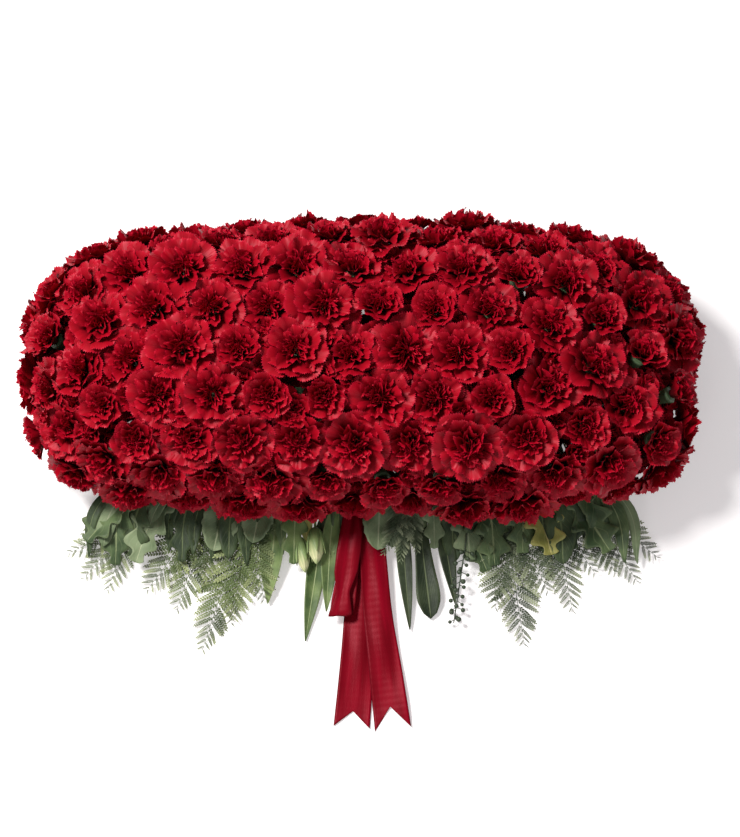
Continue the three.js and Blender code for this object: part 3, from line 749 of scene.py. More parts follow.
def frond_tree(rib_object):
    """Sets side ribs in turn to the left and right of each line, shorter towards its tip."""
    tree = bpy.data.node_groups.new("frond", "GeometryNodeTree")
    tree.interface.new_socket("Geometry", in_out="OUTPUT", socket_type="NodeSocketGeometry")
    named = {
        "Midribs": "NodeSocketGeometry", "From": "NodeSocketFloat", "Reach": "NodeSocketFloat",
        "Spacing": "NodeSocketFloat", "Splay": "NodeSocketFloat", "Thickness": "NodeSocketFloat",
        "Seed": "NodeSocketInt", "Finish": "NodeSocketMaterial",
    }
    for name, kind in named.items():
        tree.interface.new_socket(name, in_out="INPUT", socket_type=kind)
    bench = Bench(tree)
    inlet = tree.nodes.new("NodeGroupInput")
    want = {name: Sum(bench, inlet.outputs[name]) for name in named}
    lines = bench.add("GeometryNodeMeshToCurve", {}, {0: want["Midribs"]})
    whole = bench.add("GeometryNodeSplineParameter", {}, {}, out="Factor")
    taper = want["Thickness"] * (1.15 - whole)
    thick = bench.add("GeometryNodeSetCurveRadius", {}, {"Curve": lines, "Radius": taper})
    ring = bench.add("GeometryNodeCurvePrimitiveCircle", {}, {"Resolution": 5, "Radius": 1.0})
    rib_scale = bench.add("GeometryNodeInputRadius")
    stalk = tree.nodes.new("GeometryNodeCurveToMesh")
    tree.links.new(thick.socket, stalk.inputs["Curve"])
    tree.links.new(ring.socket, stalk.inputs["Profile Curve"])
    if "Scale" in stalk.inputs:
        tree.links.new(rib_scale.socket, stalk.inputs["Scale"])
    stalk.inputs["Fill Caps"].default_value = True
    cut = {"Curve": lines, 2: want["From"], 3: 0.995}
    tail = bench.add("GeometryNodeTrimCurve", {"mode": "FACTOR"}, cut)
    even = {"Curve": tail, "Length": want["Spacing"]}
    spots = bench.add("GeometryNodeResampleCurve", {"mode": "LENGTH"}, even)
    far = bench.add("GeometryNodeSplineParameter", {}, {}, out="Factor")
    number = bench.add("GeometryNodeInputIndex")
    hand = bench.add("ShaderNodeMath", {"operation": "MODULO"}, {0: number, 1: 2.0}) * 2.0 - 1.0

    def chance_from(seed):
        limits = {2: -1.0, 3: 1.0, "Seed": seed}
        return bench.add("FunctionNodeRandomValue", {"data_type": "FLOAT"}, limits, out=1)

    chance, other = chance_from(want["Seed"]), chance_from(want["Seed"] + 7.0)
    ahead = bench.add("GeometryNodeInputTangent")
    facing = bench.add(
        "FunctionNodeAxesToRotation", {"primary_axis": "Y", "secondary_axis": "Z"},
        {0: ahead, 1: (0.0, 0.0, 1.0)},
    )
    swing = hand * (want["Splay"] - far * 0.35) + chance * 0.10
    tip_over = bench.vector(-0.10 + other * 0.12, other * 0.35, 0.0 - swing)
    swing = bench.add("FunctionNodeEulerToRotation", {}, {0: tip_over})
    local = {"rotation_space": "LOCAL"}
    facing = bench.add("FunctionNodeRotateRotation", local, {0: facing, 1: swing})
    reach = want["Reach"] * bench.sine(far * 2.15 + 0.85) * (1.0 + chance * 0.10) + 0.0015
    blank = bench.add("GeometryNodeObjectInfo", {}, {"Object": rib_object}, out="Geometry")
    stand = {"Points": spots, "Rotation": facing, "Scale": bench.vector(reach, reach, reach)}
    ribs = bench.add("GeometryNodeInstanceOnPoints", {}, {"Instance": blank, **stand})
    far_kept = bench.add(
        "GeometryNodeStoreNamedAttribute", {"data_type": "FLOAT", "domain": "INSTANCE"},
        {"Geometry": ribs, "Name": "far", "Value": bench.fraction(chance * 3.7)},
    )
    both = bench.tree.nodes.new("GeometryNodeJoinGeometry")
    tree.links.new(far_kept.socket, both.inputs[0])
    tree.links.new(stalk.outputs[0], both.inputs[0])
    done = bench.add("GeometryNodeRealizeInstances", {}, {"Geometry": Sum(bench, both.outputs[0])})
    done = bench.add("GeometryNodeSetMaterial", {}, {"Geometry": done, "Material": want["Finish"]})
    tree.links.new(done.socket, tree.nodes.new("NodeGroupOutput").inputs[0])
    return tree


def fern_finish(name, deep, fresh, pale):
    made, bench, shader = finish_bench(name)
    along, far = bench.attribute("along"), bench.attribute("far")
    place = bench.place()
    patch = bench.noise(place, 28.0, 2.0)
    fine = bench.noise(place, 480.0, 2.0)
    shade = bench.mix(bench.smooth(patch, 0.30, 0.70), (*deep, 1), (*fresh, 1))
    tips = bench.smooth(along * 0.6 + far * 0.5 + fine * 0.3, 0.55, 1.15)
    shade = bench.mix(tips, shade, (*pale, 1))
    feed(bench, shader, Base_Color=shade, Roughness=0.5 + fine * 0.2)
    feed(bench, shader, Normal=bench.bump(0.25, 0.0003, fine))
    return made


fern_green = fern_finish(
    "fern_green", (0.032, 0.056, 0.012), (0.105, 0.150, 0.042), (0.30, 0.35, 0.15)
)
fern_dusty = fern_finish(
    "fern_dusty", (0.026, 0.044, 0.018), (0.085, 0.115, 0.055), (0.31, 0.35, 0.21)
)
rib_object = bpy.data.objects.new("side_rib", side_rib())
bpy.context.collection.objects.link(rib_object)
frond_nodes = frond_tree(rib_object)
table_gap = 0.0006


def fern(name, lines, begin, reach, spacing, splay, finish, nodes=()):
    """A bunch of fronds, each along its own line, as one piece."""
    steps = 40
    verts = np.vstack([smooth_line(points, steps) for points in lines])
    starts = range(0, steps * len(lines), steps)
    mesh = bpy.data.meshes.new(name)
    edges = [(k + b, k + b + 1) for b in starts for k in range(steps - 1)]
    mesh.from_pydata([tuple(v) for v in verts], edges, [])
    holder = bpy.data.objects.new(name + "_lines", mesh)
    bpy.context.collection.objects.link(holder)
    values = {
        "From": begin, "Reach": reach, "Spacing": spacing, "Splay": splay, "Finish": finish,
        "Thickness": 0.0011, "Seed": len(name) + int(reach * 9999),
    }
    grown = grown_mesh(holder, *growth(holder, frond_nodes), values)
    bpy.data.objects.remove(holder)
    xyz = np.empty(len(grown.vertices) * 3)
    grown.vertices.foreach_get("co", xyz)
    xyz[2::3] = np.maximum(xyz[2::3], table_gap)
    grown.vertices.foreach_set("co", xyz)
    set_piece(name, grown, nodes)


frond_lines = [
    [
        (-196, -262, -168, 9, -296, -212, 3), (-200, -272, -160, 14, -312, -186, 8),
        (-190, -250, -172, 12, -270, -226, 4),
    ],
    [
        (-150, -176, -178, 8, -196, -246, 2.5), (-156, -196, -176, 12, -228, -226, 5),
        (-146, -160, -172, 13, -172, -214, 9),
    ],
    [
        (-108, -140, -196, 9, -168, -290, 2.5), (-112, -128, -190, 14, -138, -262, 6),
        (-104, -112, -180, 16, -104, -238, 10),
    ],
    [
        (150, 158, -182, 8, 170, -284, 2.5), (146, 150, -180, 14, 140, -246, 8),
        (154, 176, -176, 14, 196, -228, 8),
    ],
    [
        (186, 210, -176, 8, 222, -248, 2.5), (182, 198, -168, 15, 204, -216, 10),
        (190, 224, -168, 14, 246, -208, 9),
    ],
    [
        (214, 262, -166, 9, 292, -216, 3), (216, 276, -156, 14, 314, -190, 7),
        (210, 250, -168, 14, 268, -208, 8),
    ],
]
for k, trio in enumerate(frond_lines):
    finish = fern_green if k < 3 else fern_dusty
    reach = 0.031 if k in (1, 2, 3) else 0.026
    lines = [green_points(*line) for line in trio]
    fern(f"fern_{k + 1}", lines, 0.50, reach, 0.0039, 1.05, finish, [f"fern_frond_{k + 1}"])
lace = [
    (34, 38, -150, 31, 22, -192, 27), (38, 44, -150, 30, 40, -200, 26),
    (42, 52, -150, 30, 58, -190, 26),
]
lines = [green_points(*line) for line in lace]
fern("lacy_leaf", lines, 0.46, 0.017, 0.0022, 0.95, fern_dusty)
bpy.data.objects.remove(rib_object)


# ---------- Broad leaves ----------
# Florist's greens: lobed, rounded, lance and strap leaves, thin and folded a little on a midrib.
# Their stalks are pushed into the foam under the blooms, and the blades hang over the tray.
def leaf_finish(name, dark, fresh, vein, gloss=0.42, veins=9.0, slant=2.2, bloom=0.0):
    made, bench, shader = finish_bench(name)
    along, across = bench.attribute("along"), bench.attribute("across")
    place = bench.place()
    patch = bench.noise(place, 36.0, 4.0)
    fine = bench.noise(place, 420.0, 3.0)
    off = bench.size_of(across)
    middle = 1.0 - bench.smooth(off, 0.02, 0.09)
    comb = bench.size_of(bench.fraction(along * veins - off * slant) - 0.5)
    sides = bench.smooth(comb, 0.40, 0.49) * (1.0 - off * 0.6)
    shade = bench.mix(bench.smooth(patch, 0.32, 0.70), (*dark, 1), (*fresh, 1))
    shade = bench.mix(bench.smooth(off, 0.75, 1.0) * (0.25 + bloom), shade, (*vein, 1))
    shade = bench.mix(middle * 0.75 + sides * 0.22, shade, (*vein, 1))
    feed(bench, shader, Base_Color=shade, Roughness=gloss + fine * 0.22)
    height = fine * 0.25 - middle * 0.6 - sides * 0.5
    feed(bench, shader, Normal=bench.bump(0.55, 0.0007, height))
    set_even(shader, Specular_IOR_Level=0.32)
    return made


oak_green = leaf_finish(
    "lobed_green", (0.026, 0.052, 0.018), (0.105, 0.155, 0.062), (0.26, 0.31, 0.15), veins=5.0, slant=1.6
)
sage_green = leaf_finish(
    "sage_green", (0.085, 0.125, 0.058), (0.21, 0.27, 0.145), (0.36, 0.41, 0.25), gloss=0.5
)
lance_green = leaf_finish(
    "lance_green", (0.050, 0.095, 0.026), (0.18, 0.25, 0.085), (0.36, 0.42, 0.20), veins=14.0, slant=6.0
)
strap_green = leaf_finish(
    "strap_green", (0.010, 0.020, 0.007), (0.040, 0.058, 0.024), (0.13, 0.16, 0.075), veins=0.6, slant=7.0
)
shade_green = leaf_finish(
    "shade_green", (0.012, 0.026, 0.009), (0.055, 0.085, 0.034), (0.15, 0.19, 0.08)
)
lemon_green = leaf_finish(
    "lemon_green", (0.15, 0.17, 0.035), (0.36, 0.34, 0.09), (0.56, 0.50, 0.20), veins=6.0
)


def outline(kind, s):
    """Half width of a blade, 0..1, at each share of its length."""
    if kind == "lance":
        return np.sin(math.pi * s ** 0.75) ** 0.9
    if kind == "strap":
        blunt = np.sqrt(np.clip((1 - s) / 0.16, 0, 1)).clip(0, 1)
        return (0.35 + 0.65 * np.clip(s / 0.75, 0, 1) ** 1.2) * blunt
    if kind == "round":
        return np.sin(math.pi * s ** 0.85) ** 0.55 * (1 - 0.05 * np.cos(s * 40))
    body = np.sin(math.pi * np.clip(0.06 + 0.94 * s, 0, 1) ** 0.95) ** 0.6
    sinus = (0.5 + 0.5 * np.cos(2 * math.pi * (3.4 * s + 0.12))) ** 1.1
    return body * (1 - 0.54 * sinus * (s < 0.93))


def two_skins(rows, cols):
    """The faces of a thin closed sheet: an upper and a lower grid of corners, and their rim."""
    faces, n = [], rows * cols
    for r in range(rows - 1):
        for c in range(cols - 1):
            k = r * cols + c
            faces.append((k, k + 1, k + cols + 1, k + cols))
            faces.append((n + k, n + k + cols, n + k + cols + 1, n + k + 1))
    rim = list(range(cols)) + [r * cols + cols - 1 for r in range(1, rows)]
    rim += [(rows - 1) * cols + c for c in range(cols - 2, -1, -1)]
    rim += [r * cols for r in range(rows - 2, 0, -1)]
    for k, b in zip(rim, rim[1:] + rim[:1]):
        faces.append((b, k, n + k, n + b))
    return faces


def leaf(name, points, begin, width, kind, finish, nodes=(), seed=0, fold=0.30, curl=0.0):
    rows, cols = (30 if kind == "lobed" else 22), 9
    if not nodes:
        rows, cols = (24 if kind == "lobed" else 16), 7
    line = smooth_line(points, 80)
    run = np.linspace(begin, 1, rows) * 79
    mid = np.stack([np.interp(run, np.arange(80), line[:, k]) for k in range(3)], axis=1)
    tangent = np.gradient(mid, axis=0)
    tangent /= np.linalg.norm(tangent, axis=1, keepdims=True)
    side = np.cross(tangent, [0, 0, 1])
    side /= np.linalg.norm(side, axis=1, keepdims=True)
    roll = 0.5 * (scatter(seed, 41) - 0.5)
    cos, sin = math.cos(roll), math.sin(roll)
    up = np.cross(side, tangent)
    side, up = side * cos + up * sin, up * cos - side * sin
    s = np.linspace(0, 1, rows)
    half = 0.0005 * width * outline(kind, s) + 0.0006
    a = np.linspace(-1, 1, cols)
    forward = (0.42 if kind == "lobed" else 0.10) * half[:, None] * np.abs(a) ** 1.5
    waves, begun = 13 + 5 * scatter(seed, 42), 6 * scatter(seed, 43)
    ripple = 0.10 * np.sin(s[:, None] * waves + a * 1.2 + begun) * a ** 2
    lift = half[:, None] * (fold * np.abs(a) ** 1.3 - curl * a ** 2 * 0.6 + ripple)
    wide = (half[:, None] * a)[:, :, None]
    grid = mid[:, None] + side[:, None] * wide + up[:, None] * lift[:, :, None]
    grid = grid + tangent[:, None] * forward[:, :, None]
    skin = up[:, None] * 0.00022
    top, low = (grid + skin).reshape(-1, 3), (grid - skin).reshape(-1, 3)
    stalk_line = line[: int(79 * (begin + 0.62 * (1 - begin)))][::3]
    stalk_line = stalk_line - np.array([0, 0, 0.0004])
    share = np.linspace(0, 1, len(stalk_line))
    stalk = tube(stalk_line, 0.0012 - 0.0007 * share, sides=6)
    verts, faces = joined([(np.vstack([top, low]), two_skins(rows, cols)), stalk])
    verts[:, 2] = np.maximum(verts[:, 2], 0.0005)
    extra = len(verts) - 2 * rows * cols
    corners = {
        "across": np.concatenate([np.tile(a, rows), np.tile(a, rows), np.zeros(extra)]),
        "along": np.concatenate([np.repeat(s, cols), np.repeat(s, cols), np.full(extra, 0.05)]),
    }
    return make_piece(name, verts, faces, finish, nodes, corners)


front_leaves = [
    ("lobed_leaf_1", (-210, -272, -150, 22, -292, -176, 20), 0.56, 42, "lobed", oak_green),
    ("lobed_leaf_2", (-166, -222, -150, 21, -240, -198, 16), 0.54, 44, "lobed", sage_green),
    ("round_leaf_1", (-128, -150, -150, 22, -158, -186, 18), 0.60, 38, "round", sage_green),
    ("round_leaf_2", (-94, -110, -146, 23, -116, -178, 21), 0.60, 34, "round", sage_green),
    ("lance_leaf_1", (-82, -92, -150, 18, -100, -240, 5), 0.46, 26, "lance", lance_green),
    ("lance_leaf_2", (-31, -43, -156, 9, -60, -280, 2.5), 0.45, 20, "lance", lance_green),
    ("lance_leaf_3", (-14, -32, -156, 22, -38, -250, 10), 0.48, 19, "lance", lance_green),
    ("round_leaf_3", (24, 18, -146, 26, 16, -186, 22.5), 0.58, 36, "round", sage_green),
    ("strap_leaf_1", (40, 42, -156, 16, 50, -268, 4), 0.45, 15, "lance", strap_green),
    ("strap_leaf_2", (66, 62, -154, 16, 72, -256, 4), 0.45, 24, "strap", strap_green),
    ("strap_leaf_3", (84, 86, -154, 16, 98, -240, 4), 0.48, 17, "lance", strap_green),
    ("lobed_leaf_3", (104, 112, -150, 20, 132, -206, 10), 0.52, 38, "lobed", oak_green),
    ("lobed_leaf_4", (168, 190, -148, 22, 200, -190, 18), 0.54, 44, "lobed", lemon_green),
    ("lobed_leaf_5", (202, 240, -148, 22, 262, -186, 18), 0.54, 48, "lobed", oak_green),
]
for k, (node, way, begin, width, kind, finish) in enumerate(front_leaves):
    name = node.replace("leaf", "blade")
    leaf(name, green_points(*way), begin, width, kind, finish, [node], seed=k)

cover_leaves = [
    ("back_leaf_1", (-190, 55), (-186, 120), (-182, 176)),
    ("back_leaf_2", (-72, 55), (-68, 120), (-64, 180)),
    ("back_leaf_3", (72, 55), (68, 120), (64, 180)),
    ("back_leaf_4", (190, 55), (186, 120), (182, 176)),
    ("end_leaf_left", (-231.5, 6), (-284, 6), (-334, 6)),
    ("end_leaf_right", (231.5, 6), (284, 6), (334, 6)),
]


def cover_points(start, middle, end):
    """A stalk in the foam's side, out over the tray and down to a tip 12 mm above the table."""
    way = np.array(middle, dtype=float) - start
    way /= np.linalg.norm(way)
    stalk = [(*(start - 18 * way), 40), (*start, 40), (*(start + 16 * way), 40)]
    return stalk + [(*middle, 26), (*end, 12)]


for k, (node, start, middle, end) in enumerate(cover_leaves):
    name = node.replace("leaf", "blade")
    points = cover_points(start, middle, end)
    leaf(name, points, 0.46, 46, "lobed", shade_green, [node], seed=30 + k)

# More leaves are tucked in close under the lowest blooms, all the way round.
under_places = [
    ("front", 36, -300, 300), ("back", 26, -262, 262), ("left", 8, -100, 100), ("right", 8, -100, 100),
]
under_widths = {"lobed": 36, "round": 27, "lance": 16}
under_finishes = [shade_green, oak_green, shade_green, sage_green, shade_green, lance_green, lemon_green]
seed = 100
for side_of, count, first, last in under_places:
    hand = -1 if side_of in ("front", "left") else 1
    for k in range(count):
        at = first + (last - first) * (k + 0.5 + 0.5 * (scatter(seed, 51) - 0.5)) / count
        reach = 164 + 10 * scatter(seed, 52)
        if side_of == "front":
            reach = 176 + 26 * scatter(seed, 52)
        elif side_of == "back":
            reach -= 0.35 * max(0.0, abs(at) - 190)
        drop = 6 + 12 * scatter(seed, 53)
        if side_of in ("front", "back"):
            if side_of == "front" and -34 < at < 62:
                drop = 3 + 2 * scatter(seed, 53)
            root = at * 0.72
            points = [
                (root, hand * 55, 48), (root * 1.04, hand * 76, 44), (at * 0.97, hand * 140, 26),
                (at + 8 * (scatter(seed, 54) - 0.5), hand * reach, drop),
            ]
            finish = under_finishes[int(scatter(seed, 56) * 6.3)]
        else:
            points = [
                (hand * 231.5, at * 0.4, 44), (hand * 250, at * 0.5, 38), (hand * 306, at * 0.9, 20),
                (hand * (160 + reach), at * 0.95, drop),
            ]
            finish = shade_green
        pick = scatter(seed, 55)
        kind = "lobed" if pick < 0.45 else "round" if pick < 0.65 else "lance"
        width = under_widths[kind] * (0.7 + 0.5 * scatter(seed, 57))
        name = f"under_leaf_{seed - 99:02d}"
        leaf(name, points, 0.50, width, kind, finish, seed=seed, fold=0.25, curl=0.3)
        seed += 1


# ---------- Carnation buds ----------
# Closed buds on thin stalks: five pointed sepals round a pale ribbed body, cream at its tip.
bud_skin, bench, shader = finish_bench("bud_skin")
along, across = bench.attribute("along"), bench.attribute("across")
place = bench.place()
fine = bench.noise(place, 380.0, 3.0)
ribbing = bench.size_of(bench.sine(across * 31.4159))
bud_greens = [
    (0.0, (0.13, 0.21, 0.07)), (0.30, (0.22, 0.31, 0.11)), (0.62, (0.46, 0.50, 0.24)),
    (0.85, (0.72, 0.68, 0.40)), (1.0, (0.34, 0.42, 0.17)),
]
shade = bench.ramp(along + (fine - 0.5) * 0.12, bud_greens)
shade = bench.mix(ribbing * 0.40, shade, (0.16, 0.26, 0.09, 1))
feed(bench, shader, Base_Color=shade, Roughness=0.42 + fine * 0.2)
feed(bench, shader, Normal=bench.bump(0.4, 0.0005, ribbing * 0.6 + fine * 0.4))

buds = [
    ("carnation_bud_1", (-66, -68, -150, 15, -66, -172, 13), 40, 7.5),
    ("carnation_bud_2", (-46, -50, -146, 24, -50, -164, 23), 42, 8.8),
    ("carnation_bud_3", (-22, -28, -138, 10, -28.5, -164, 8.5), 38, 7.5),
]
bud_heights = np.linspace(0, 1, 22)
bud_swell = np.interp(
    bud_heights, [0, 0.04, 0.18, 0.45, 0.72, 0.9, 1], [0.15, 0.45, 0.78, 1.0, 0.80, 0.42, 0.03]
)
twist = 0.5


def bud_body(tip, ahead, side, up, length, radius, sides=30):
    """A closed, slightly twisted bud with five soft flutes and fine ribs."""
    angle = np.arange(sides) * 2 * math.pi / sides
    verts, faces, rings = [], [], len(bud_heights)
    for h, r in zip(bud_heights, bud_swell):
        turned = angle + twist * h
        wide = radius * r * (1 + 0.10 * np.cos(5 * angle) * h + 0.03 * np.cos(15 * angle))
        centre = tip + ahead * (length * h - 0.003)
        round_ = np.outer(wide * np.cos(turned), side) + np.outer(wide * np.sin(turned), up)
        verts.append(centre + round_)
    for i in range(rings - 1):
        for j in range(sides):
            a, b = i * sides + j, i * sides + (j + 1) % sides
            faces.append((a, b, b + sides, a + sides))
    faces.append(tuple(range(sides))[::-1])
    faces.append(tuple(range((rings - 1) * sides, rings * sides)))
    return np.vstack(verts), faces


def sepal(base, tip, ahead, side, up, length, radius, rows=12, cols=5):
    """One pointed sepal that lies round the bud and curls out at its tip."""
    verts = []
    for skin in (0.0006, 0.0):
        for i in range(rows):
            h = i / (rows - 1)
            reach = 0.02 + 0.72 * h
            r = radius * np.interp(reach, bud_heights, bud_swell) * 1.06 + skin + 0.0028 * h ** 4
            half = 0.62 * (1 - h ** 1.6) + 0.02
            centre = tip + ahead * (length * reach - 0.003)
            for j in range(cols):
                turned = base + twist * reach + half * (j / (cols - 1) * 2 - 1)
                round_ = side * (r * math.cos(turned)) + up * (r * math.sin(turned))
                verts.append(centre + round_)
    return np.array(verts), two_skins(rows, cols)


for k, (node, way, length, radius) in enumerate(buds):
    line = smooth_line(green_points(*way), 60)
    tip, ahead = line[-1], line[-1] - line[-3]
    ahead /= np.linalg.norm(ahead)
    side = np.cross(ahead, [0, 0, 1])
    side /= np.linalg.norm(side)
    shape = (tip, ahead, side, np.cross(side, ahead), length / 1000, radius / 1000)
    stalk = tube(line, np.full(60, 0.0014), sides=6)
    parts = [stalk, bud_body(*shape)]
    parts += [sepal(j * 2 * math.pi / 5 + 0.3 + k, *shape) for j in range(5)]
    sepal_along = np.tile(np.repeat(np.linspace(0.05, 0.42, 12), 5), 2)
    sepal_across = np.tile(np.linspace(0, 0.2, 5), 24)
    none = np.zeros(len(stalk[0]))
    corners = {
        "along": np.concatenate([none + 0.1, np.repeat(bud_heights, 30)] + [sepal_along] * 5),
        "across": np.concatenate([none, np.tile(np.arange(30) / 30, 22)] + [sepal_across] * 5),
    }
    verts, faces = joined(parts)
    verts[:, 2] = np.maximum(verts[:, 2], table_gap)
    name = node.replace("carnation_bud", "bud")
    make_piece(name, verts, faces, bud_skin, [node], corners)


# ---------- Seeded sprig ----------
# Eucalyptus seeds: round green-black seed heads on short forked twigs along a thin stalk.
seed_skin, bench, shader = finish_bench("seed_skin")
place = bench.place()
fleck = bench.noise(place, 500.0, 3.0)
shade = bench.mix(fleck, (0.008, 0.018, 0.008, 1), (0.06, 0.09, 0.045, 1))
feed(bench, shader, Base_Color=shade, Roughness=0.35 + fleck * 0.3)
feed(bench, shader, Normal=bench.bump(0.3, 0.0003, fleck))
stalk = smooth_line(green_points(124, 112, -160, 24, 96, -262, 8), 70)
parts = [tube(stalk, np.linspace(0.0011, 0.0006, 70), sides=6)]
for k in range(26):
    at = stalk[46 + int(k * 0.9)]
    turn = k * 2.4
    out = np.array([math.cos(turn), 0.35 - 0.8, 0.45 * math.sin(turn)])
    end = at + out * (0.0045 + 0.005 * scatter(k, 61))
    end[2] = max(end[2], 0.004)
    bend = (at + end) / 2 + [0, 0, 0.001]
    parts.append(tube([at, bend, end], [0.0005, 0.0004, 0.0004], sides=5))
    r = 0.0019 + 0.0010 * scatter(k, 62)
    way = (end - at) / np.linalg.norm(end - at)
    t = np.linspace(-1, 1, 8)
    ball = r * np.sqrt(np.maximum(1 - t * t, 0.02))
    parts.append(tube(end + np.outer(t * r, way), ball, sides=8))
verts, faces = joined(parts)
make_piece("seed_sprig", verts, faces, seed_skin, ["seeded_sprig"])


# ---------- Ribbon ----------
# Double-faced red satin, 36 mm wide: two tails with swallow-tail ends and one folded loop.
# It is gathered under the blooms and tied to a wooden pick in the foam.
satin, bench, shader = finish_bench("red_satin")
along, across = bench.attribute("along"), bench.attribute("across")
weft = bench.sine(along * 900.0)
threads_and_sheen = bench.noise(bench.vector(across * 90.0, along * 5.0, 0.0), 1.0, 3.0)
crease = bench.noise(bench.vector(across * 1.6, along * 9.0, 2.0), 1.0, 2.0)
selvage = bench.smooth(bench.size_of(across), 0.93, 0.97)
# Painted shade and sheen: the crease noise mixes a dark and a light red along the ribbon, standing for
# shaded folds and lit satin; it also drives the fold bump.
lit_and_shaded_reds = (0.11, 0.0007, 0.0035, 1), (0.22, 0.0014, 0.0100, 1)
shade = bench.mix(bench.smooth(crease, 0.3, 0.7), *lit_and_shaded_reds)
# Real weave streaks and painted sheen: the fine thread streaks are lightened towards a brighter red.
shade = bench.mix(threads_and_sheen * 0.25, shade, (0.30, 0.0025, 0.018, 1))
shade = bench.mix(selvage * 0.5, shade, (0.08, 0.0008, 0.005, 1))
feed(bench, shader, Base_Color=shade, Roughness=0.33 + threads_and_sheen * 0.10 + selvage * 0.2)
height = threads_and_sheen * 0.5 + weft * 0.15 + crease * 3.0
feed(bench, shader, Normal=bench.bump(0.35, 0.0006, height))
set_even(shader, Specular_IOR_Level=0.22, Specular_Tint=(1.0, 0.28, 0.34, 1))


def ribbon(name, points, wide_at, gather, notch, node, swing=0.0):
    """A band of satin along a line: pleated where it is gathered, easy where it lies."""
    rows, cols, cloth = 90, 15, 0.00018
    length = np.linalg.norm(np.diff(smooth_line(points, 200), axis=0), axis=1).sum()
    a = np.linspace(-1, 1, cols)
    steps = 400
    fine = smooth_line(points, steps)
    slope = np.gradient(fine, axis=0)
    slope /= np.linalg.norm(slope, axis=1, keepdims=True)
    t = np.linspace(0, 1, rows)
    share = t[:, None] * (1 - notch * (1 - np.abs(a))[None, :] * t[:, None] ** 6)

    def along_line(values):
        at = share * (steps - 1)
        return np.stack([np.interp(at, np.arange(steps), values[:, k]) for k in range(3)], axis=2)

    mid, tangent = along_line(fine), along_line(slope)
    side = np.cross(tangent, np.array([0, 0, 1.0]) + 0 * tangent)
    if name == "satin_loop":
        side = np.broadcast_to(np.array([1.0, 0.08, 0.0]), tangent.shape).copy()
    side /= np.linalg.norm(side, axis=2, keepdims=True)
    up = np.cross(side, tangent)
    half = np.interp(share, np.linspace(0, 1, len(wide_at)), wide_at) / 2000
    tight = np.interp(share, [0, 0.35, 1], [1, 0.35, 0.0]) * gather
    pleat = tight * 0.0034 * np.cos(a * 4.6 + 0.6)
    pleat = pleat + 0.0011 * np.sin(share * 17 + a * 1.4) * (share > 0.1)
    pleat = pleat + swing * 0.002 * np.sin(share * 9 + 0.8) * a
    pleat = pleat + 0.0012 * np.sin(share * 13 + swing * a * 2.4) * np.clip(share * 3, 0, 1)
    grid = mid + side * (half * a)[:, :, None] + up * pleat[:, :, None]
    top, low = (grid + up * cloth).reshape(-1, 3), (grid - up * cloth).reshape(-1, 3)
    raise_by = np.maximum(0.0005 - low[:, 2], 0)
    top[:, 2] += raise_by
    low[:, 2] += raise_by
    run = (share * length).reshape(-1)
    corners = {"across": np.tile(a, 2 * rows), "along": np.tile(run, 2)}
    verts = np.vstack([top, low])
    ob = make_piece(name, verts, two_skins(rows, cols), satin, [node], corners)


left_line = [
    (0, -96, 26), (-2, -150, 18), (-1, -200, 10), (-3, -250, 4.2), (-6, -310, 2.2), (-11, -372, 2),
]
right_line = [
    (4, -96, 30), (8, -150, 23), (12, -200, 15.5), (16, -250, 9.5), (24, -310, 5), (32, -374, 2.2),
]
loop_line = [
    (-4, -98, 33), (-10, -150, 27), (-16, -200, 23), (-21, -236, 20), (-23, -252, 17.5),
    (-23, -257, 14.5), (-21, -248, 12.5), (-18, -226, 14.5), (-13, -190, 17.5), (-9, -150, 22.5),
]
left_widths, right_widths = [24, 26, 29, 33, 36, 38], [24, 27, 29, 31, 35, 38]
loop_widths = [13, 17, 21, 24, 26, 25, 14, 25, 26, 24, 21, 17, 13]
ribbon(
    "satin_tail_left", left_line, left_widths, 1.0, 0.062,
    "ribbon_tail_left", 0.8,
)
ribbon(
    "satin_tail_right", right_line, right_widths, 1.0, 0.085,
    "ribbon_tail_right", -0.8,
)
ribbon(
    "satin_loop", loop_line, loop_widths, 0.7, 0.0,
    "ribbon_loop",
)


# ---------- Holder ----------
# Two bricks of wet floral foam in a moulded plastic saddle tray, held down by a plastic cage.
# A soft black pad under the tray keeps it from scratching the lid.
foam_skin, bench, shader = finish_bench("wet_foam")
place = bench.place()
cells = bench.add("ShaderNodeTexVoronoi", {}, {"Vector": place, "Scale": 900.0})
patch = bench.noise(place, 40.0, 4.0)
shade = bench.mix(patch, (0.015, 0.060, 0.022, 1), (0.045, 0.13, 0.055, 1))
shade = bench.mix(bench.smooth(cells, 0.1, 0.6) * 0.4, shade, (0.09, 0.19, 0.09, 1))
feed(bench, shader, Base_Color=shade, Roughness=0.75 + patch * 0.2)
feed(bench, shader, Normal=bench.bump(0.6, 0.0005, cells))


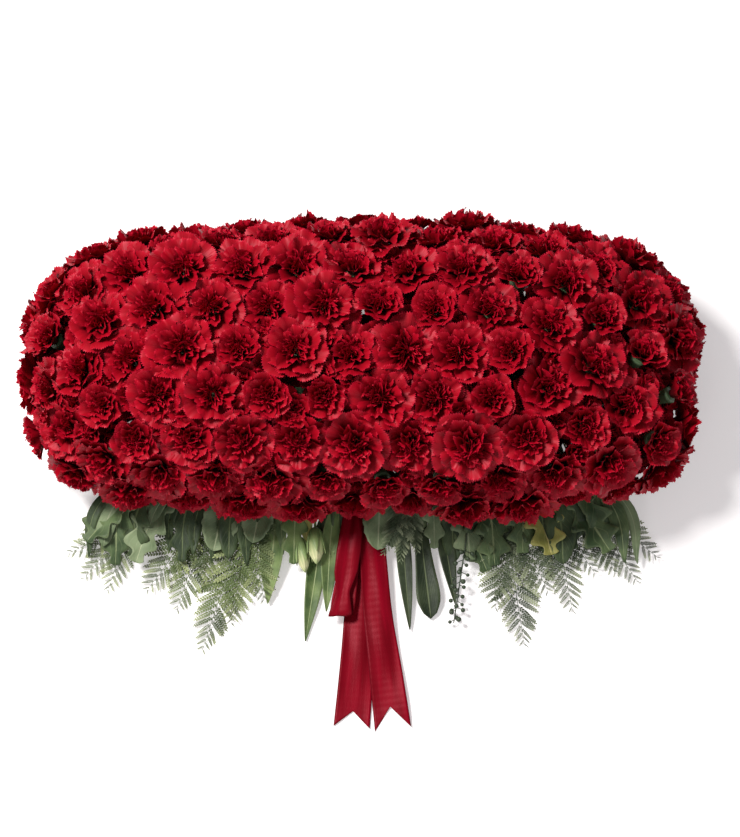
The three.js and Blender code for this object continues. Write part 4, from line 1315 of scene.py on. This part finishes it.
def plastic(name, dark, light):
    made, bench, shader = finish_bench(name)
    place = bench.place()
    grain = bench.noise(place, 900.0, 2.0)
    rub = bench.noise(place, 24.0, 4.0)
    shade = bench.mix(bench.smooth(rub, 0.45, 0.75) * 0.6, (*dark, 1), (*light, 1))
    feed(bench, shader, Base_Color=shade, Roughness=0.34 + rub * 0.2 + grain * 0.08)
    feed(bench, shader, Normal=bench.bump(0.2, 0.0002, grain))
    return made


wood, bench, shader = finish_bench("pick_wood")
place = bench.place()
stretched = bench.add("ShaderNodeMapping", {}, {"Vector": place, "Scale": (900.0, 40.0, 900.0)})
grain = bench.noise(stretched, 1.0, 3.0)
shade = bench.mix(grain, (0.30, 0.17, 0.07, 1), (0.55, 0.38, 0.19, 1))
feed(bench, shader, Base_Color=shade, Roughness=0.6 + grain * 0.2)
feed(bench, shader, Normal=bench.bump(0.4, 0.0003, grain))

finishes = {
    "foam_block_left": foam_skin, "foam_block_right": foam_skin, "ribbon_pick": wood,
    "saddle_tray": plastic("tray_plastic", (0.012, 0.045, 0.018), (0.035, 0.085, 0.040)),
    "foam_cage": plastic("cage_plastic", (0.016, 0.055, 0.022), (0.045, 0.10, 0.05)),
}
for node, finish in finishes.items():
    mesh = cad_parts[node].data
    mesh.materials.clear()
    mesh.materials.append(finish)

felt, bench, shader = finish_bench("pad_felt")
place = bench.place()
fibre = bench.noise(place, 700.0, 5.0)
shade = bench.mix(fibre, (0.006, 0.006, 0.007, 1), (0.035, 0.035, 0.038, 1))
feed(bench, shader, Base_Color=shade, Roughness=0.85 + fibre * 0.1)
feed(bench, shader, Normal=bench.bump(0.7, 0.0005, fibre))
pad_low, pad_high = (np.array(v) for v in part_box("saddle_pad"))
pad_size = (pad_high - pad_low)[:2]
rows, cols, round_edge = 13, 49, 0.0013
verts = []
for top in (True, False):
    for r in range(rows):
        for c in range(cols):
            u, v = c / (cols - 1), r / (rows - 1)
            x, y = pad_low[0] + u * pad_size[0], pad_low[1] + v * pad_size[1]
            inner = min(u * 464, (1 - u) * 464, v * 108, (1 - v) * 108) / 1000
            if top:
                z = pad_high[2] - round_edge * max(0, 1 - inner / 0.004) ** 2
            else:
                z = 0.0006 * max(0, 1 - inner / 0.003)
            verts.append((x, y, z))
pad = make_piece("soft_pad", verts, two_skins(rows, cols), felt, ["saddle_pad"])
